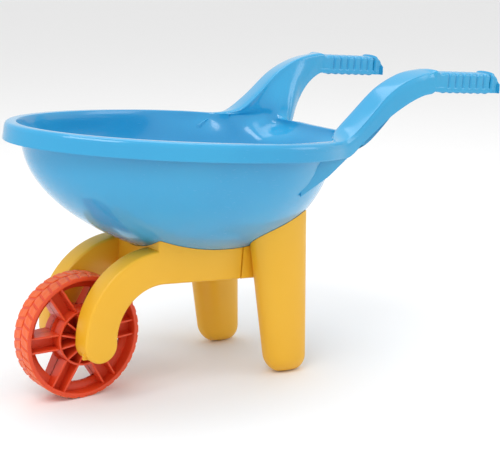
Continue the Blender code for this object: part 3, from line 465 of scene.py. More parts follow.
def grip_ring(x, top, groove=0.0):
    """The same ten points at the grip, pinched in by groove except in a band along the foot."""
    out = GRIP_Y + GRIP_WIDTH / 2
    inn = GRIP_Y - GRIP_WIDTH / 2
    band = GRIP_BOTTOM_Z + BAND_HEIGHT
    r = EDGE_ROUNDING
    high = top - groove
    side = max(min(high - r, top - r), band + 0.003)
    points = [(out, GRIP_BOTTOM_Z), (out - 0.0002, band), (out - 0.0004 - groove, band + 0.0022),
              (out - 0.0006 - groove, side), (out - r * 0.72 - groove, high - r * 0.08),
              (inn + r * 0.72 + groove, high - r * 0.08), (inn + 0.0006 + groove, side),
              (inn + 0.0004 + groove, band + 0.0022), (inn + 0.0002, band), (inn, GRIP_BOTTOM_Z)]
    return [Vector((x, y, z)) for y, z in points]


def grip_rings():
    rings = [grip_ring(GRIP_START, GRIP_TOP_Z + CROWN_STEP),
             grip_ring(GRIP_START + 0.0050, GRIP_TOP_Z + CROWN_STEP * 0.72),
             grip_ring(GRIP_START + 0.0090, GRIP_TOP_Z - 0.0006)]
    for k in range(RIBS):
        x = FIRST_GROOVE + RIB_PITCH * k
        rings.append(grip_ring(x - RIB_PITCH * 0.55, GRIP_TOP_Z + 0.0005))
        rings.append(grip_ring(x - GROOVE_HALF * 1.25, GRIP_TOP_Z))
        rings.append(grip_ring(x - GROOVE_HALF * 0.35, GRIP_TOP_Z, GROOVE_DEPTH))
        rings.append(grip_ring(x + GROOVE_HALF * 0.35, GRIP_TOP_Z, GROOVE_DEPTH))
        rings.append(grip_ring(x + GROOVE_HALF * 1.25, GRIP_TOP_Z))
    for share, fall in ((1.0, 0.0), (0.55, 0.10), (0.22, 0.32), (0.05, 0.62), (0.0, 1.0)):
        rings.append(grip_ring(GRIP_END - GRIP_END_RADIUS * share, GRIP_TOP_Z - GRIP_END_RADIUS * fall))
    return rings


def handle_rings(feet):
    rings = []
    for share, foot in zip(SECTION_SHARES, feet):
        x = HANDLE_ROOT_X + reach * share
        inner_y = INNER_FACE_ROOT
        inner_y += (GRIP_Y - GRIP_WIDTH / 2 - INNER_FACE_ROOT) * max(0, share - 0.2) / 0.8
        inner_y += INNER_FLARE * math.exp(-share * 13)
        rings.append(handle_ring(Vector((x, outer_wall(x), 0)), Vector((x - 0.004, inner_y, 0)),
                                 low_curve(x), crown_curve(x) - 0.0012, crown_curve(x) + 0.0008, foot))
    return rings + grip_rings()


print("rings", len(handle_rings([Vector((0, 0, 0))] * 13)))


# %% The cage of half the tub
def tub_cage():
    """Half the show surface, y >= 0: vertices, faces, and the pairs along the crisp edge."""
    verts = []
    faces = []

    def add(point):
        verts.append(Vector(point))
        return len(verts) - 1

    def bowl_column(edge):
        length = BOWL_FRONT if edge.x < BOWL_X else BOWL_REAR
        angle = math.atan2(edge.y / BOWL_HALF_WIDTH, (edge.x - BOWL_X) / length)
        return [add(bowl_point(angle, drop, -TUB_WALL)) for drop in BOWL_DROPS]

    def rim_column(start, inward):
        column = []
        for inset, z in RIM_ROWS:
            point = start + inward * inset
            column.append(add((point.x, point.y, RIM_Z + z)))
        return column + bowl_column(start + inward * RIM_LAND)

    def corner_column(foot):
        column = [None] * EDGE_ROW + [add((foot[0], foot[1], RIM_Z))]
        bowl = bowl_column(Vector((foot[0], foot[1], 0)))
        neck = verts[column[-1]] * 0.45 + verts[bowl[0]] * 0.55
        column.append(add((neck.x, neck.y, RIM_Z - 0.0120)))
        return column + bowl

    side = [rim_column(*station) for station in side_stations()]
    corner = [corner_column(foot) for foot in FOOT_PATH]
    back = [rim_column(*station) for station in back_stations()]
    grid = side + corner + back
    for a, b in zip(grid[:-1], grid[1:]):
        for k in range(len(a) - 1):
            quad = (a[k], b[k], b[k + 1], a[k + 1])
            if None not in quad:
                faces.append(quad)
    middle_x = BOWL_X + (BOWL_REAR * BOWL_FLOOR_REAR - BOWL_FRONT * BOWL_FLOOR_FRONT) / 2
    middle = add((middle_x, 0, RIM_Z - BOWL_DEPTH + TUB_WALL))
    for a, b in zip(grid[:-1], grid[1:]):
        faces.append((a[-1], b[-1], middle))

    crisp = [(a[EDGE_ROW], b[EDGE_ROW]) for a, b in zip(side[:-1], side[1:])]
    crisp += [(a[EDGE_ROW], b[EDGE_ROW]) for a, b in zip(back[:-1], back[1:])]
    root = side[-1]
    feet = [column[EDGE_ROW] for column in corner] + back[0][EDGE_ROW::-1]
    feet += [add(point) for point in FREE_PATH]
    previous = root[:EDGE_ROW + 1] + [root[EDGE_ROW]] * 4
    for index, ring in enumerate(handle_rings([verts[i] for i in feet])):
        current = [add(point) for point in ring[:-1]]
        current.append(feet[index] if index < len(SECTION_SHARES) else add(ring[-1]))
        for k in range(len(current) - 1):
            corners = (previous[k], current[k], current[k + 1], previous[k + 1])
            faces.append(tuple(dict.fromkeys(corners)))
        previous = current
    last = len(previous) - 1
    for k in range(last // 2):
        cap = (previous[k], previous[last - k], previous[last - k - 1], previous[k + 1])
        faces.append(tuple(dict.fromkeys(cap)))
    return verts, faces, crisp


half_verts, half_faces, crisp_pairs = tub_cage()
print("half cage:", len(half_verts), "points,", len(half_faces), "faces")


# %% Smooth the cage so that it passes through its own points
def crease(piece, pairs, amount):
    """Mark edges, given by their end points, to stay crisp under subdivision."""
    def key(a, b):
        return frozenset(tuple(round(c, 5) for c in p) for p in (a, b))

    wanted = {key(a, b) for a, b in pairs}
    values = piece.data.attributes.new("crease_edge", "FLOAT", "EDGE")
    count = 0
    for edge in piece.data.edges:
        a, b = (piece.data.vertices[i].co for i in edge.vertices)
        if key(a, b) in wanted:
            values.data[edge.index].value = amount
            count += 1
    return count


def fit_cage(piece, levels, rounds=5):
    """Subdivision shrinks a cage; move the cage out until the smooth surface meets the points."""
    smooth = piece.modifiers.new("smooth", "SUBSURF")
    smooth.levels = levels
    smooth.render_levels = levels
    count = len(piece.data.vertices)
    target = np.empty(count * 3, np.float32)
    piece.data.vertices.foreach_get("co", target)
    cage = target.copy()
    for _ in range(rounds):
        piece.data.update()
        graph = bpy.context.evaluated_depsgraph_get()
        made = piece.evaluated_get(graph).data
        found = np.empty(len(made.vertices) * 3, np.float32)
        made.vertices.foreach_get("co", found)
        miss = target - found[:count * 3]
        cage += miss * 0.9
        piece.data.vertices.foreach_set("co", cage)
        piece.data.update()
        bpy.context.view_layer.update()
    return float(np.abs(miss).max())


mirrored = [Vector((v.x, -v.y, v.z)) for v in half_verts]
count = len(half_verts)
tub = new_piece("tub_moulding", half_verts + mirrored,
                half_faces + [tuple(i + count for i in face[::-1]) for face in half_faces], blue)
crisp_points = [(half_verts[a], half_verts[b]) for a, b in crisp_pairs]
crisp_points += [(mirrored[a], mirrored[b]) for a, b in crisp_pairs]
print("crisp edges:", crease(tub, crisp_points, 0.92), "largest miss:", fit_cage(tub, 2))

# %% Give the skin its wall and round the lip
wall = tub.modifiers.new("wall", "SOLIDIFY")
wall.thickness = TUB_WALL
wall.offset = -1
soften(tub, 0.0006, 2, 50)
settle(tub)
tip(tub)
tub.data.shade_smooth()
tub.data.set_sharp_from_angle(angle=math.radians(48))
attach(tub, "barrow")
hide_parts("tub")
print("tub faces:", len(tub.data.polygons))

# %% [markdown]
# ## The webs under the handles
# Where each handle leaves the rim a thin web runs down on to the bowl and carries the bending of
# the handle.  It lies a few millimetres inside the skirt, so the skirt's lip throws a line of
# shadow on it.  It is a plate with a curved lower edge, cut away where it enters the bowl.

# %% One web on each side
GUSSET_Y = 0.1345
GUSSET_EDGE = ((0.2150, 0.1838), (0.2330, 0.1943), (0.2550, 0.2074), (0.2830, 0.2308))
GUSSET_END = 0.3050


def make_web(name, side):
    web_top = RIM_Z - 0.0050
    outline = list(GUSSET_EDGE)
    outline += [(GUSSET_END, low_curve(GUSSET_END) + 0.0010), (GUSSET_END, web_top),
                (0.2580, web_top), (0.2150, web_top - 0.0260)]
    y_low, y_high = sorted((side * (GUSSET_Y - TUB_WALL), side * GUSSET_Y))
    web = new_piece("handle_web_" + name, *prism_y(outline, y_low, y_high), blue)
    core = boolean(web, bowl_body("core", -TUB_WALL * 0.5))
    soften(web, 0.0005, 2)
    settle(web, core)
    tip(web)
    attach(web, "barrow")
    print(web.name, len(web.data.polygons), "faces")


for side_name, side_sign in SIDES:
    make_web(side_name, side_sign)

# %% [markdown]
# ## Rows and rings by rule
# Lobes under a grip, treads round a wheel, ribs round a hub and screws are all one small shape
# put down again and again.  Geometry Nodes do this: points, an instance on each, Realize
# Instances and Set Material.  One tree turns copies about the wheel's axle, another sets copies
# along a row, and a third puts them at the points of a guide mesh.

# %% Helpers that grow a node tree
def new_tree(name, sizes):
    tree = bpy.data.node_groups.new(name, "GeometryNodeTree")
    tree.interface.new_socket("Geometry", in_out="INPUT", socket_type="NodeSocketGeometry")
    for label, kind in sizes:
        tree.interface.new_socket(label, in_out="INPUT", socket_type=kind)
    tree.interface.new_socket("Geometry", in_out="OUTPUT", socket_type="NodeSocketGeometry")
    entry = tree.nodes.new("NodeGroupInput")
    leave = tree.nodes.new("NodeGroupOutput")
    return tree, entry, leave


def finish_tree(tree, entry, leave, instances):
    realize = tree.nodes.new("GeometryNodeRealizeInstances")
    paint = tree.nodes.new("GeometryNodeSetMaterial")
    tree.links.new(instances, realize.inputs["Geometry"])
    tree.links.new(realize.outputs["Geometry"], paint.inputs["Geometry"])
    tree.links.new(entry.outputs["Finish"], paint.inputs["Material"])
    tree.links.new(paint.outputs["Geometry"], leave.inputs["Geometry"])
    return tree


def math_node(tree, operation, a, b):
    node = tree.nodes.new("ShaderNodeMath")
    node.operation = operation
    for socket, value in zip(node.inputs, (a, b)):
        if isinstance(value, (int, float)):
            socket.default_value = value
        else:
            tree.links.new(value, socket)
    return node.outputs["Value"]


# %% Tree one: copies turned about the Y axis
def ring_tree():
    tree, entry, leave = new_tree("copies_round_the_axle", (
        ("Part", "NodeSocketObject"), ("Count", "NodeSocketInt"), ("Start angle", "NodeSocketFloat"),
        ("Finish", "NodeSocketMaterial")))
    points = tree.nodes.new("GeometryNodePoints")
    tree.links.new(entry.outputs["Count"], points.inputs["Count"])
    number = tree.nodes.new("GeometryNodeInputIndex").outputs["Index"]
    step = math_node(tree, "DIVIDE", 2 * math.pi, entry.outputs["Count"])
    angle = math_node(tree, "ADD", math_node(tree, "MULTIPLY", number, step),
                      entry.outputs["Start angle"])
    turn = tree.nodes.new("ShaderNodeCombineXYZ")
    tree.links.new(angle, turn.inputs["Y"])
    part = tree.nodes.new("GeometryNodeObjectInfo")
    tree.links.new(entry.outputs["Part"], part.inputs["Object"])
    put = tree.nodes.new("GeometryNodeInstanceOnPoints")
    tree.links.new(points.outputs["Points"], put.inputs["Points"])
    tree.links.new(part.outputs["Geometry"], put.inputs["Instance"])
    tree.links.new(turn.outputs["Vector"], put.inputs["Rotation"])
    return finish_tree(tree, entry, leave, put.outputs["Instances"])


# %% Tree two: copies in a row
def row_tree():
    tree, entry, leave = new_tree("copies_in_a_row", (
        ("Part", "NodeSocketObject"), ("Count", "NodeSocketInt"), ("Step", "NodeSocketVector"),
        ("Finish", "NodeSocketMaterial")))
    points = tree.nodes.new("GeometryNodePoints")
    tree.links.new(entry.outputs["Count"], points.inputs["Count"])
    number = tree.nodes.new("GeometryNodeInputIndex").outputs["Index"]
    move = tree.nodes.new("ShaderNodeVectorMath")
    move.operation = "SCALE"
    tree.links.new(entry.outputs["Step"], move.inputs[0])
    tree.links.new(number, move.inputs["Scale"])
    tree.links.new(move.outputs["Vector"], points.inputs["Position"])
    part = tree.nodes.new("GeometryNodeObjectInfo")
    tree.links.new(entry.outputs["Part"], part.inputs["Object"])
    put = tree.nodes.new("GeometryNodeInstanceOnPoints")
    tree.links.new(points.outputs["Points"], put.inputs["Points"])
    tree.links.new(part.outputs["Geometry"], put.inputs["Instance"])
    return finish_tree(tree, entry, leave, put.outputs["Instances"])


# %% Tree three: copies on the points of a guide mesh, turned to its stored direction
def place_tree():
    tree, entry, leave = new_tree("copies_on_places", (
        ("Part", "NodeSocketObject"), ("Finish", "NodeSocketMaterial")))
    way = tree.nodes.new("GeometryNodeInputNamedAttribute")
    way.data_type = "FLOAT_VECTOR"
    way.inputs["Name"].default_value = "way"
    turn = tree.nodes.new("FunctionNodeAlignRotationToVector")
    turn.axis = "Z"
    tree.links.new(way.outputs["Attribute"], turn.inputs["Vector"])
    part = tree.nodes.new("GeometryNodeObjectInfo")
    tree.links.new(entry.outputs["Part"], part.inputs["Object"])
    put = tree.nodes.new("GeometryNodeInstanceOnPoints")
    tree.links.new(entry.outputs["Geometry"], put.inputs["Points"])
    tree.links.new(part.outputs["Geometry"], put.inputs["Instance"])
    tree.links.new(turn.outputs["Rotation"], put.inputs["Rotation"])
    return finish_tree(tree, entry, leave, put.outputs["Instances"])


RING_TREE = ring_tree()
ROW_TREE = row_tree()
PLACE_TREE = place_tree()


def grow(name, tree, part, finish, guide=None, **sizes):
    """Run a tree on a guide, keep its mesh as a plain piece, and clear the part away."""
    if guide is None:
        guide = bpy.data.objects.new(name, bpy.data.meshes.new(name))
        bpy.context.scene.collection.objects.link(guide)
    guide.name = name
    modifier = guide.modifiers.new("grow", "NODES")
    modifier.node_group = tree
    wanted = {"Part": part, "Finish": finish}
    wanted.update({key.replace("_", " "): value for key, value in sizes.items()})
    for item in tree.interface.items_tree:
        if item.in_out == "INPUT" and item.name in wanted:
            modifier[item.identifier] = wanted[item.name]
    bpy.context.view_layer.update()
    settle(guide, part)
    guide.data.name = name
    print(name, len(guide.data.polygons), "faces")
    return guide


# %% [markdown]
# ## Finger lobes
# An insert in the tub's blue closes each grip from below.  It is a row of seven soft lobes that the fingers
# find.  One lobe is a stretched half-drum, and the row tree repeats it.

# %% The inserts under the grips
LOBE_FALL = 0.0019


def one_lobe(length, y_low, y_high):
    outline = [(length, 0.0050), (0.0, 0.0050)]
    for step in range(13):
        share = step / 12
        fall = LOBE_FALL * math.sin(math.pi * share) ** 0.8 if 0 < share < 1 else 0.0
        outline.append((length * share, -fall))
    lobe = new_piece("lobe", *prism_y(outline, y_low, y_high))
    return settle(soften(lobe, 0.0006, 2, 60))


for side_name, side_sign in SIDES:
    half = GRIP_WIDTH / 2 - TUB_WALL - 0.0006
    lobe = one_lobe(RIB_PITCH, *sorted((side_sign * (GRIP_Y - half), side_sign * (GRIP_Y + half))))
    lobe.data.transform(Matrix.Translation((0.4275, 0, GRIP_BOTTOM_Z)))
    insert = grow("finger_lobes_" + side_name, ROW_TREE, lobe, blue, Count=RIBS,
                  Step=(RIB_PITCH + 0.00002, 0, 0))
    tip(insert)
    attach(insert, "barrow")
    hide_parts("grip_insert_" + side_name)

# %% [markdown]
# ## The yellow frame
# The frame is a forked arm on each side of the wheel, running back into side rails under a
# cradle that the tub sits in.  Its outer edges have a generous radius, which is what catches the
# light along the top of each arm.  Each arm is a side outline pulled across and bevelled; the
# cradle is trimmed by the bowl itself and hollowed from below, so that its wall stays 3 mm.

# %% Sizes of the frame
ARM_INNER_FACE = 0.0325
ARM_OUTER_FACE = 0.0615
ARM_HALF = 0.0210
ARM_BEND = 0.0820
ARM_BEND_RISE = 0.0079
ARM_CENTRE = Vector((math.sqrt(ARM_BEND ** 2 - ARM_BEND_RISE ** 2), 0, ARM_BEND_RISE))
RAIL_BOTTOM_Z = ARM_BEND_RISE + ARM_BEND - ARM_HALF
CRADLE_FRONT = 0.0685
CRADLE_REAR = 0.1905
CRADLE_TOP = 0.1900
FRAME_WALL = 0.0030
RAIL_WALL = 0.0033
GAP = 0.0003
AXLE_RADIUS = 0.0040
AXLE_PLAY = 0.0003
AXLE_RIB_Y = 0.0500
ARM_HOLLOW = ARM_HALF - FRAME_WALL
KEEPER_SCREW_Z = ARM_HOLLOW * 1.20 - 0.0060
KEEPER_Y = (ARM_INNER_FACE + FRAME_WALL + AXLE_RIB_Y) / 2
SOCKET_BOTTOM_Z = 0.0725
SOCKET_PLACES = ((0.1050, 0.0160), (0.1700, 0.0160))
SCREW_RADIUS = 0.0017
LEG_SCREW_Z = RAIL_BOTTOM_Z + 0.0095
SPIGOT_LENGTH = 0.0420
LEG_SCREW_X = [CRADLE_REAR - SPIGOT_LENGTH + SPIGOT_LENGTH * (i + 0.5) / 2.4 for i in range(2)]
print("arm", 2 * ARM_HALF, "deep,", ARM_OUTER_FACE - ARM_INNER_FACE, "across")


# %% The arm's outline from the side
def arm_outline(outer, inner, end, rear=None, steps=22):
    """Round the bend from the rail to the round end on the axle, and back underneath."""
    start = math.pi / 2
    stop = math.pi + math.asin(ARM_BEND_RISE / ARM_BEND)
    points = [] if rear is None else [(rear, ARM_CENTRE.z + outer)]
    for i in range(steps + 1):
        angle = start + (stop - start) * i / steps
        points.append((ARM_CENTRE.x + outer * math.cos(angle), ARM_CENTRE.z + outer * math.sin(angle)))
    for i in range(1, steps):
        angle = stop + math.pi * i / steps
        points.append((end * math.cos(angle), end * math.sin(angle)))
    for i in range(steps + 1):
        angle = stop + (start - stop) * i / steps
        points.append((ARM_CENTRE.x + inner * math.cos(angle), ARM_CENTRE.z + inner * math.sin(angle)))
    return points + ([] if rear is None else [(rear, ARM_CENTRE.z + inner)])


def across(side, inner, outer):
    return sorted((side * inner, side * outer))


# %% Cut and join the frame
def make_frame():
    scaffold = []
    arms = []
    outline = arm_outline(ARM_BEND + ARM_HALF, ARM_BEND - ARM_HALF, ARM_HALF, CRADLE_REAR)
    for name, side in SIDES:
        arm = new_piece("arm_" + name, *prism_y(outline, *across(side, ARM_INNER_FACE, ARM_OUTER_FACE)))
        arms.append(settle(soften(arm, 0.0032, 4, 50)))
    upper = new_piece("frame_moulding", *block((CRADLE_FRONT, -ARM_OUTER_FACE, RAIL_BOTTOM_Z + 0.03),
                                               (CRADLE_REAR, ARM_OUTER_FACE, CRADLE_TOP)))
    settle(soften(upper, 0.0028, 4, 50))
    upper.data.materials.append(yellow)
    half = ARM_OUTER_FACE - 0.0040
    lower = new_piece("lower_block", *block((CRADLE_FRONT + 0.0002, -half, RAIL_BOTTOM_Z),
                                            (CRADLE_REAR - 0.0001, half, CRADLE_TOP - 0.05)))
    for solid in arms + [lower]:
        scaffold.append(boolean(upper, solid, "UNION"))
    rear = block((CRADLE_REAR, -0.1, 0.0), (CRADLE_REAR + 0.02, 0.1, 0.25))
    scaffold.append(boolean(upper, new_piece("rear_cut", *rear)))

    hollow = arm_outline(ARM_BEND + ARM_HOLLOW, ARM_BEND - ARM_HALF - 0.006, ARM_HOLLOW)
    bays = [("middle", -ARM_INNER_FACE, ARM_INNER_FACE, CRADLE_REAR - FRAME_WALL)]
    for name, side in SIDES:
        bays.append((name, *across(side, ARM_INNER_FACE + RAIL_WALL, ARM_OUTER_FACE - RAIL_WALL),
                     CRADLE_REAR + 0.01))
        bend = prism_y(hollow, *across(side, ARM_INNER_FACE + FRAME_WALL, ARM_OUTER_FACE - FRAME_WALL))
        scaffold.append(boolean(upper, new_piece("bend_" + name, *bend)))
    roof = bowl_body("roof", TUB_GAP + FRAME_WALL)
    for name, low, high, rear_x in bays:
        bay = new_piece("bay_" + name, *block((CRADLE_FRONT + FRAME_WALL, low, RAIL_BOTTOM_Z - 0.02),
                                              (rear_x, high, CRADLE_TOP - 0.005)))
        boolean(bay, roof)
        scaffold.append(boolean(upper, settle(bay)))
    scaffold.append(roof)
    return upper, scaffold


frame_piece, frame_scaffold = make_frame()


# %% Sockets for the tub's screws, and the seats that hold the axle
def fit_out_frame(piece, scaffold):
    for x, y in SOCKET_PLACES:
        for name, side in SIDES:
            place = (x, side * y, 0)
            for operation, profile in (
                    ("UNION", [(SOCKET_BOTTOM_Z, 0.0066), (SOCKET_BOTTOM_Z + 0.0009, 0.0075),
                               (0.0950, 0.0078)]),
                    ("DIFFERENCE", [(SOCKET_BOTTOM_Z + 0.0025, 0.0050), (CRADLE_TOP + 0.01, 0.0050)]),
                    ("DIFFERENCE", [(SOCKET_BOTTOM_Z - 0.005, 0.0020), (SOCKET_BOTTOM_Z + 0.004, 0.0020)])):
                tool = new_piece("socket_tool", *turned(profile, "Z", 28, place))
                scaffold.append(boolean(piece, tool, operation))
    inner_reach = ARM_CENTRE.x - (ARM_BEND - ARM_HALF)
    bore = AXLE_RADIUS + AXLE_PLAY
    slot_outline = [(inner_reach + 0.01, bore), (inner_reach + 0.01, -bore)]
    for i in range(13):
        angle = -math.pi / 2 - math.pi * i / 12
        slot_outline.append((bore * math.cos(angle), bore * math.sin(angle)))
    for name, side in SIDES:
        low, high = across(side, AXLE_RIB_Y, AXLE_RIB_Y + FRAME_WALL)
        rib = block((-ARM_HALF + 0.0015, low, -ARM_HALF + 0.0045), (inner_reach - 0.004, high, 0.020))
        screw_at = (0, side * KEEPER_Y, KEEPER_SCREW_Z)
        boss = turned([(-ARM_HALF + 0.001, 0.0042), (-GAP, 0.0042)], "X", 24, screw_at)
        hole = turned([(-0.0130, 0.0020), (0.005, 0.0020)], "X", 16, screw_at)
        slot = prism_y(slot_outline, *across(side, ARM_INNER_FACE - 0.01, ARM_OUTER_FACE - FRAME_WALL))
        for operation, shape in (("UNION", rib), ("UNION", boss),
                                 ("DIFFERENCE", hole), ("DIFFERENCE", slot)):
            scaffold.append(boolean(piece, new_piece("seat_tool", *shape), operation))
        for x in LEG_SCREW_X:
            ends = across(side, ARM_INNER_FACE - 0.005, ARM_INNER_FACE + RAIL_WALL + 0.005)
            shape = turned([(y, 0.0020) for y in ends], "Y", 16, (x, 0, LEG_SCREW_Z))
            scaffold.append(boolean(piece, new_piece("leg_hole", *shape)))
    scaffold.append(boolean(piece, bowl_body("tub_cut", TUB_GAP)))


fit_out_frame(frame_piece, frame_scaffold)
settle(frame_piece, *frame_scaffold)


def show_yellow(piece, node):
    piece.data.shade_smooth()
    piece.data.set_sharp_from_angle(angle=math.radians(28))
    tip(piece)
    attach(piece, "barrow")
    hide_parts(node)
    print(piece.name, len(piece.data.polygons), "faces")


show_yellow(frame_piece, "frame")

# %% [markdown]
# ## The legs
# Each leg is a tapering tube of flattened round section that leans back and ends in a round
# foot.  A square shoulder joins it to the frame's side rail, where the seam shows, and a spigot
# inside the rail takes two screws.  Stacked rings make the tube; the bowl trims its top.

# %% Sizes and rings of a leg
WHEEL_RADIUS = 0.0750
TREAD_TOP = WHEEL_RADIUS - 0.00002
LEG_Y = 0.0750
LEG_HALF_DEPTH = 0.0200
LEG_WALL = 0.0030
FOOT_ROUNDING = 0.0220
FOOT_FLAT = 0.0008
FOOT_X = 0.2557
FOOT_HALF_LENGTH = 0.0297
LEG_HEAD_FRONT = 0.1940
LEG_HEAD_REAR = 0.2724
LEG_HEAD_Z = 0.1100
LEG_TOP_Z = 0.1900
SHOULDER_LENGTH = 0.0300


def leg_rings(foot_z, inset, sides=72):
    def section(z, shrink):
        share = (z - foot_z) / (LEG_HEAD_Z - foot_z)
        front = FOOT_X - FOOT_HALF_LENGTH
        rear = FOOT_X + FOOT_HALF_LENGTH
        front += (LEG_HEAD_FRONT - front) * share
        rear += (LEG_HEAD_REAR - rear) * share
        along = (rear - front) / 2 - shrink
        depth = LEG_HALF_DEPTH * (0.96 + 0.08 * share) - shrink
        ring = []
        for i in range(sides):
            angle = 2 * math.pi * i / sides
            c = math.cos(angle)
            s = math.sin(angle)
            x = (front + rear) / 2 + along * math.copysign(abs(c) ** 0.9, c)
            ring.append(Vector((x, LEG_Y + depth * math.copysign(abs(s) ** 0.9, s), z)))
        return ring

    rounding = FOOT_ROUNDING - inset
    rings = []
    for i in range(14):
        angle = math.pi / 2 * i / 14
        rings.append(section(foot_z - rounding * math.cos(angle),
                             inset + rounding * (1 - math.sin(angle)) * 0.82))
    top = LEG_TOP_Z + (0.01 if inset else 0.0)
    for i in range(12):
        rings.append(section(foot_z + (top - foot_z) * i / 11, inset))
    return rings


def foot_height():
    """Height of the foot's rounding over the axle at which the foot meets the ground."""
    foot_z = -WHEEL_RADIUS + FOOT_ROUNDING
    for _ in range(4):
        lowest = min(p.z * math.cos(REST_PITCH) - p.x * math.sin(REST_PITCH)
                     for ring in leg_rings(foot_z, 0.0, 24) for p in ring)
        foot_z -= lowest + WHEEL_RADIUS + FOOT_FLAT
    return foot_z


# %% Cut and join each leg
def make_leg(name, side):
    foot_z = foot_height()
    flip = Matrix.Scale(side, 4, (0, 1, 0))
    leg = new_piece("leg_moulding_" + name, *loft([[flip @ p for p in r] for r in leg_rings(foot_z, 0.0)]),
                    yellow)
    start = CRADLE_REAR + GAP
    hollow = new_piece("hollow", *loft([[flip @ p for p in r] for r in leg_rings(foot_z, LEG_WALL)]))
    low, high = across(side, ARM_INNER_FACE, ARM_OUTER_FACE)
    shoulder = new_piece("shoulder", *block((start - 0.006, low, RAIL_BOTTOM_Z),
                                            (start + SHOULDER_LENGTH, high, 0.1750)))
    settle(soften(shoulder, 0.0032, 4))
    front = new_piece("front_cut", *block((start - 0.03, low - 0.01, 0.0), (start, high + 0.01, 0.25)))
    boolean(shoulder, front)
    settle(shoulder, front)
    low, high = across(side, ARM_INNER_FACE + RAIL_WALL + 0.0005, ARM_OUTER_FACE - RAIL_WALL - 0.0005)
    spigot = new_piece("spigot", *block((CRADLE_REAR - SPIGOT_LENGTH, low, RAIL_BOTTOM_Z + 0.002),
                                        (start + 0.005, high, 0.1700)))
    roof = boolean(spigot, bowl_body("spigot_roof", TUB_GAP + FRAME_WALL + 0.0005))
    settle(soften(settle(spigot, roof), 0.0006, 2))
    trim = bowl_body("leg_trim", TUB_GAP)
    floor_cut = block((-0.2, -0.2, -0.02), (0.5, 0.2, 0.0))
    ground = new_piece("ground", *floor_cut)
    ground.data.transform(LEVEL.inverted())
    tools = [(hollow, "DIFFERENCE"), (shoulder, "UNION"), (spigot, "UNION"), (trim, "DIFFERENCE"),
             (ground, "DIFFERENCE")]
    for x in LEG_SCREW_X:
        ends = across(side, ARM_INNER_FACE, ARM_INNER_FACE + RAIL_WALL + 0.0115)
        hole = new_piece("spigot_hole", *turned([(y, 0.0020) for y in ends], "Y", 16, (x, 0, LEG_SCREW_Z)))
        tools.append((hole, "DIFFERENCE"))
    for tool, operation in tools:
        boolean(leg, tool, operation)
    settle(leg, *[tool for tool, _ in tools])
    show_yellow(leg, "leg_" + name)


for side_name, side_sign in SIDES:
    make_leg(side_name, side_sign)

# %% [markdown]
# ## The wheel
# The wheel is one orange moulding: a tread ring, a thin web with six windows, six spokes with a
# rib along each edge, and a deep hub whose ribs run in to a tapering boss.  The ring, the web and
# the hub are turned shapes.  Everything that repeats round the axle comes from the ring tree.

# %% Sizes of the wheel
TREAD_BASE = 0.0738
RIM_INNER = 0.0690
WHEEL_HALF = 0.0177
WEB_HALF = 0.0015
SPOKES = 6
SPOKE_WIDTH = 0.0200
RIB = 0.0026
WINDOW_INNER = 0.0375
WINDOW_OUTER = 0.0585
HUB_RADIUS = 0.0340
HUB_HALF = 0.0195
HUB_RIBS = 12
SPOKE_HALF = 0.0140
BOSS_RADIUS = 0.0095
BOSS_HALF = 0.0305
TREAD_BLOCKS = 36
print("wheel", 2 * WHEEL_RADIUS, "across,", TREAD_BLOCKS, "blocks in each of two rows")


# %% Turn the rings
def turned_loop(loop, sides=144):
    """A closed loop of (y, radius), turned right round the Y axis."""
    verts = []
    for i in range(sides):
        angle = 2 * math.pi * i / sides
        verts += [(r * math.cos(angle), y, r * math.sin(angle)) for y, r in loop]
    n = len(loop)
    faces = []
    for i in range(sides):
        for k in range(n):
            m = (k + 1) % n
            j = (i + 1) % sides
            faces.append((i * n + k, i * n + m, j * n + m, j * n + k))
    return verts, faces


def round_section(low, high, inner, outer, soft):
    """A rectangle in (y, radius) with its corners cut round."""
    loop = []
    for y, r, start in ((high - soft, outer - soft, 0), (low + soft, outer - soft, 90),
                        (low + soft, inner + soft, 180), (high - soft, inner + soft, 270)):
        for k in range(4):
            angle = math.radians(start + 30 * k)
            loop.append((y + soft * math.cos(angle), r + soft * math.sin(angle)))
    return loop


def show_orange(piece, *nodes):
    piece.data.transform(Matrix.Translation(AXLE))
    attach(piece, "wheel")
    if nodes:
        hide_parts(*nodes)
    print(piece.name, len(piece.data.polygons), "faces")
    return piece


tread_ring = new_piece("wheel_tread_ring", *turned_loop(
    round_section(-WHEEL_HALF, WHEEL_HALF, RIM_INNER, TREAD_BASE, 0.0009)), orange)
hub_ring = new_piece("wheel_hub_ring", *turned_loop(
    round_section(-HUB_HALF, HUB_HALF, HUB_RADIUS - RIB, HUB_RADIUS, 0.0007)), orange)

# %% The web and its windows
web_disc = new_piece("wheel_web", *turned_loop(
    [(-WEB_HALF, BOSS_RADIUS * 0.7), (WEB_HALF, BOSS_RADIUS * 0.7), (WEB_HALF, RIM_INNER + 0.001),
     (-WEB_HALF, RIM_INNER + 0.001)]), orange)
window_rings = []
for i in range(SPOKES):
    middle = 2 * math.pi * (i + 0.5) / SPOKES
    outline = []
    for radius, turn in ((WINDOW_INNER, 1), (WINDOW_OUTER, -1)):
        half_angle = math.pi / SPOKES - math.asin((SPOKE_WIDTH / 2) / radius)
        for k in range(13):
            angle = middle + turn * half_angle * (k / 6 - 1)
            outline.append((radius * math.cos(angle), radius * math.sin(angle)))
    window = new_piece("window", *prism_y(outline, -0.01, 0.01))
    window_rings.append(boolean(web_disc, window))
soften(web_disc, 0.0004, 2)
settle(web_disc, *window_rings)

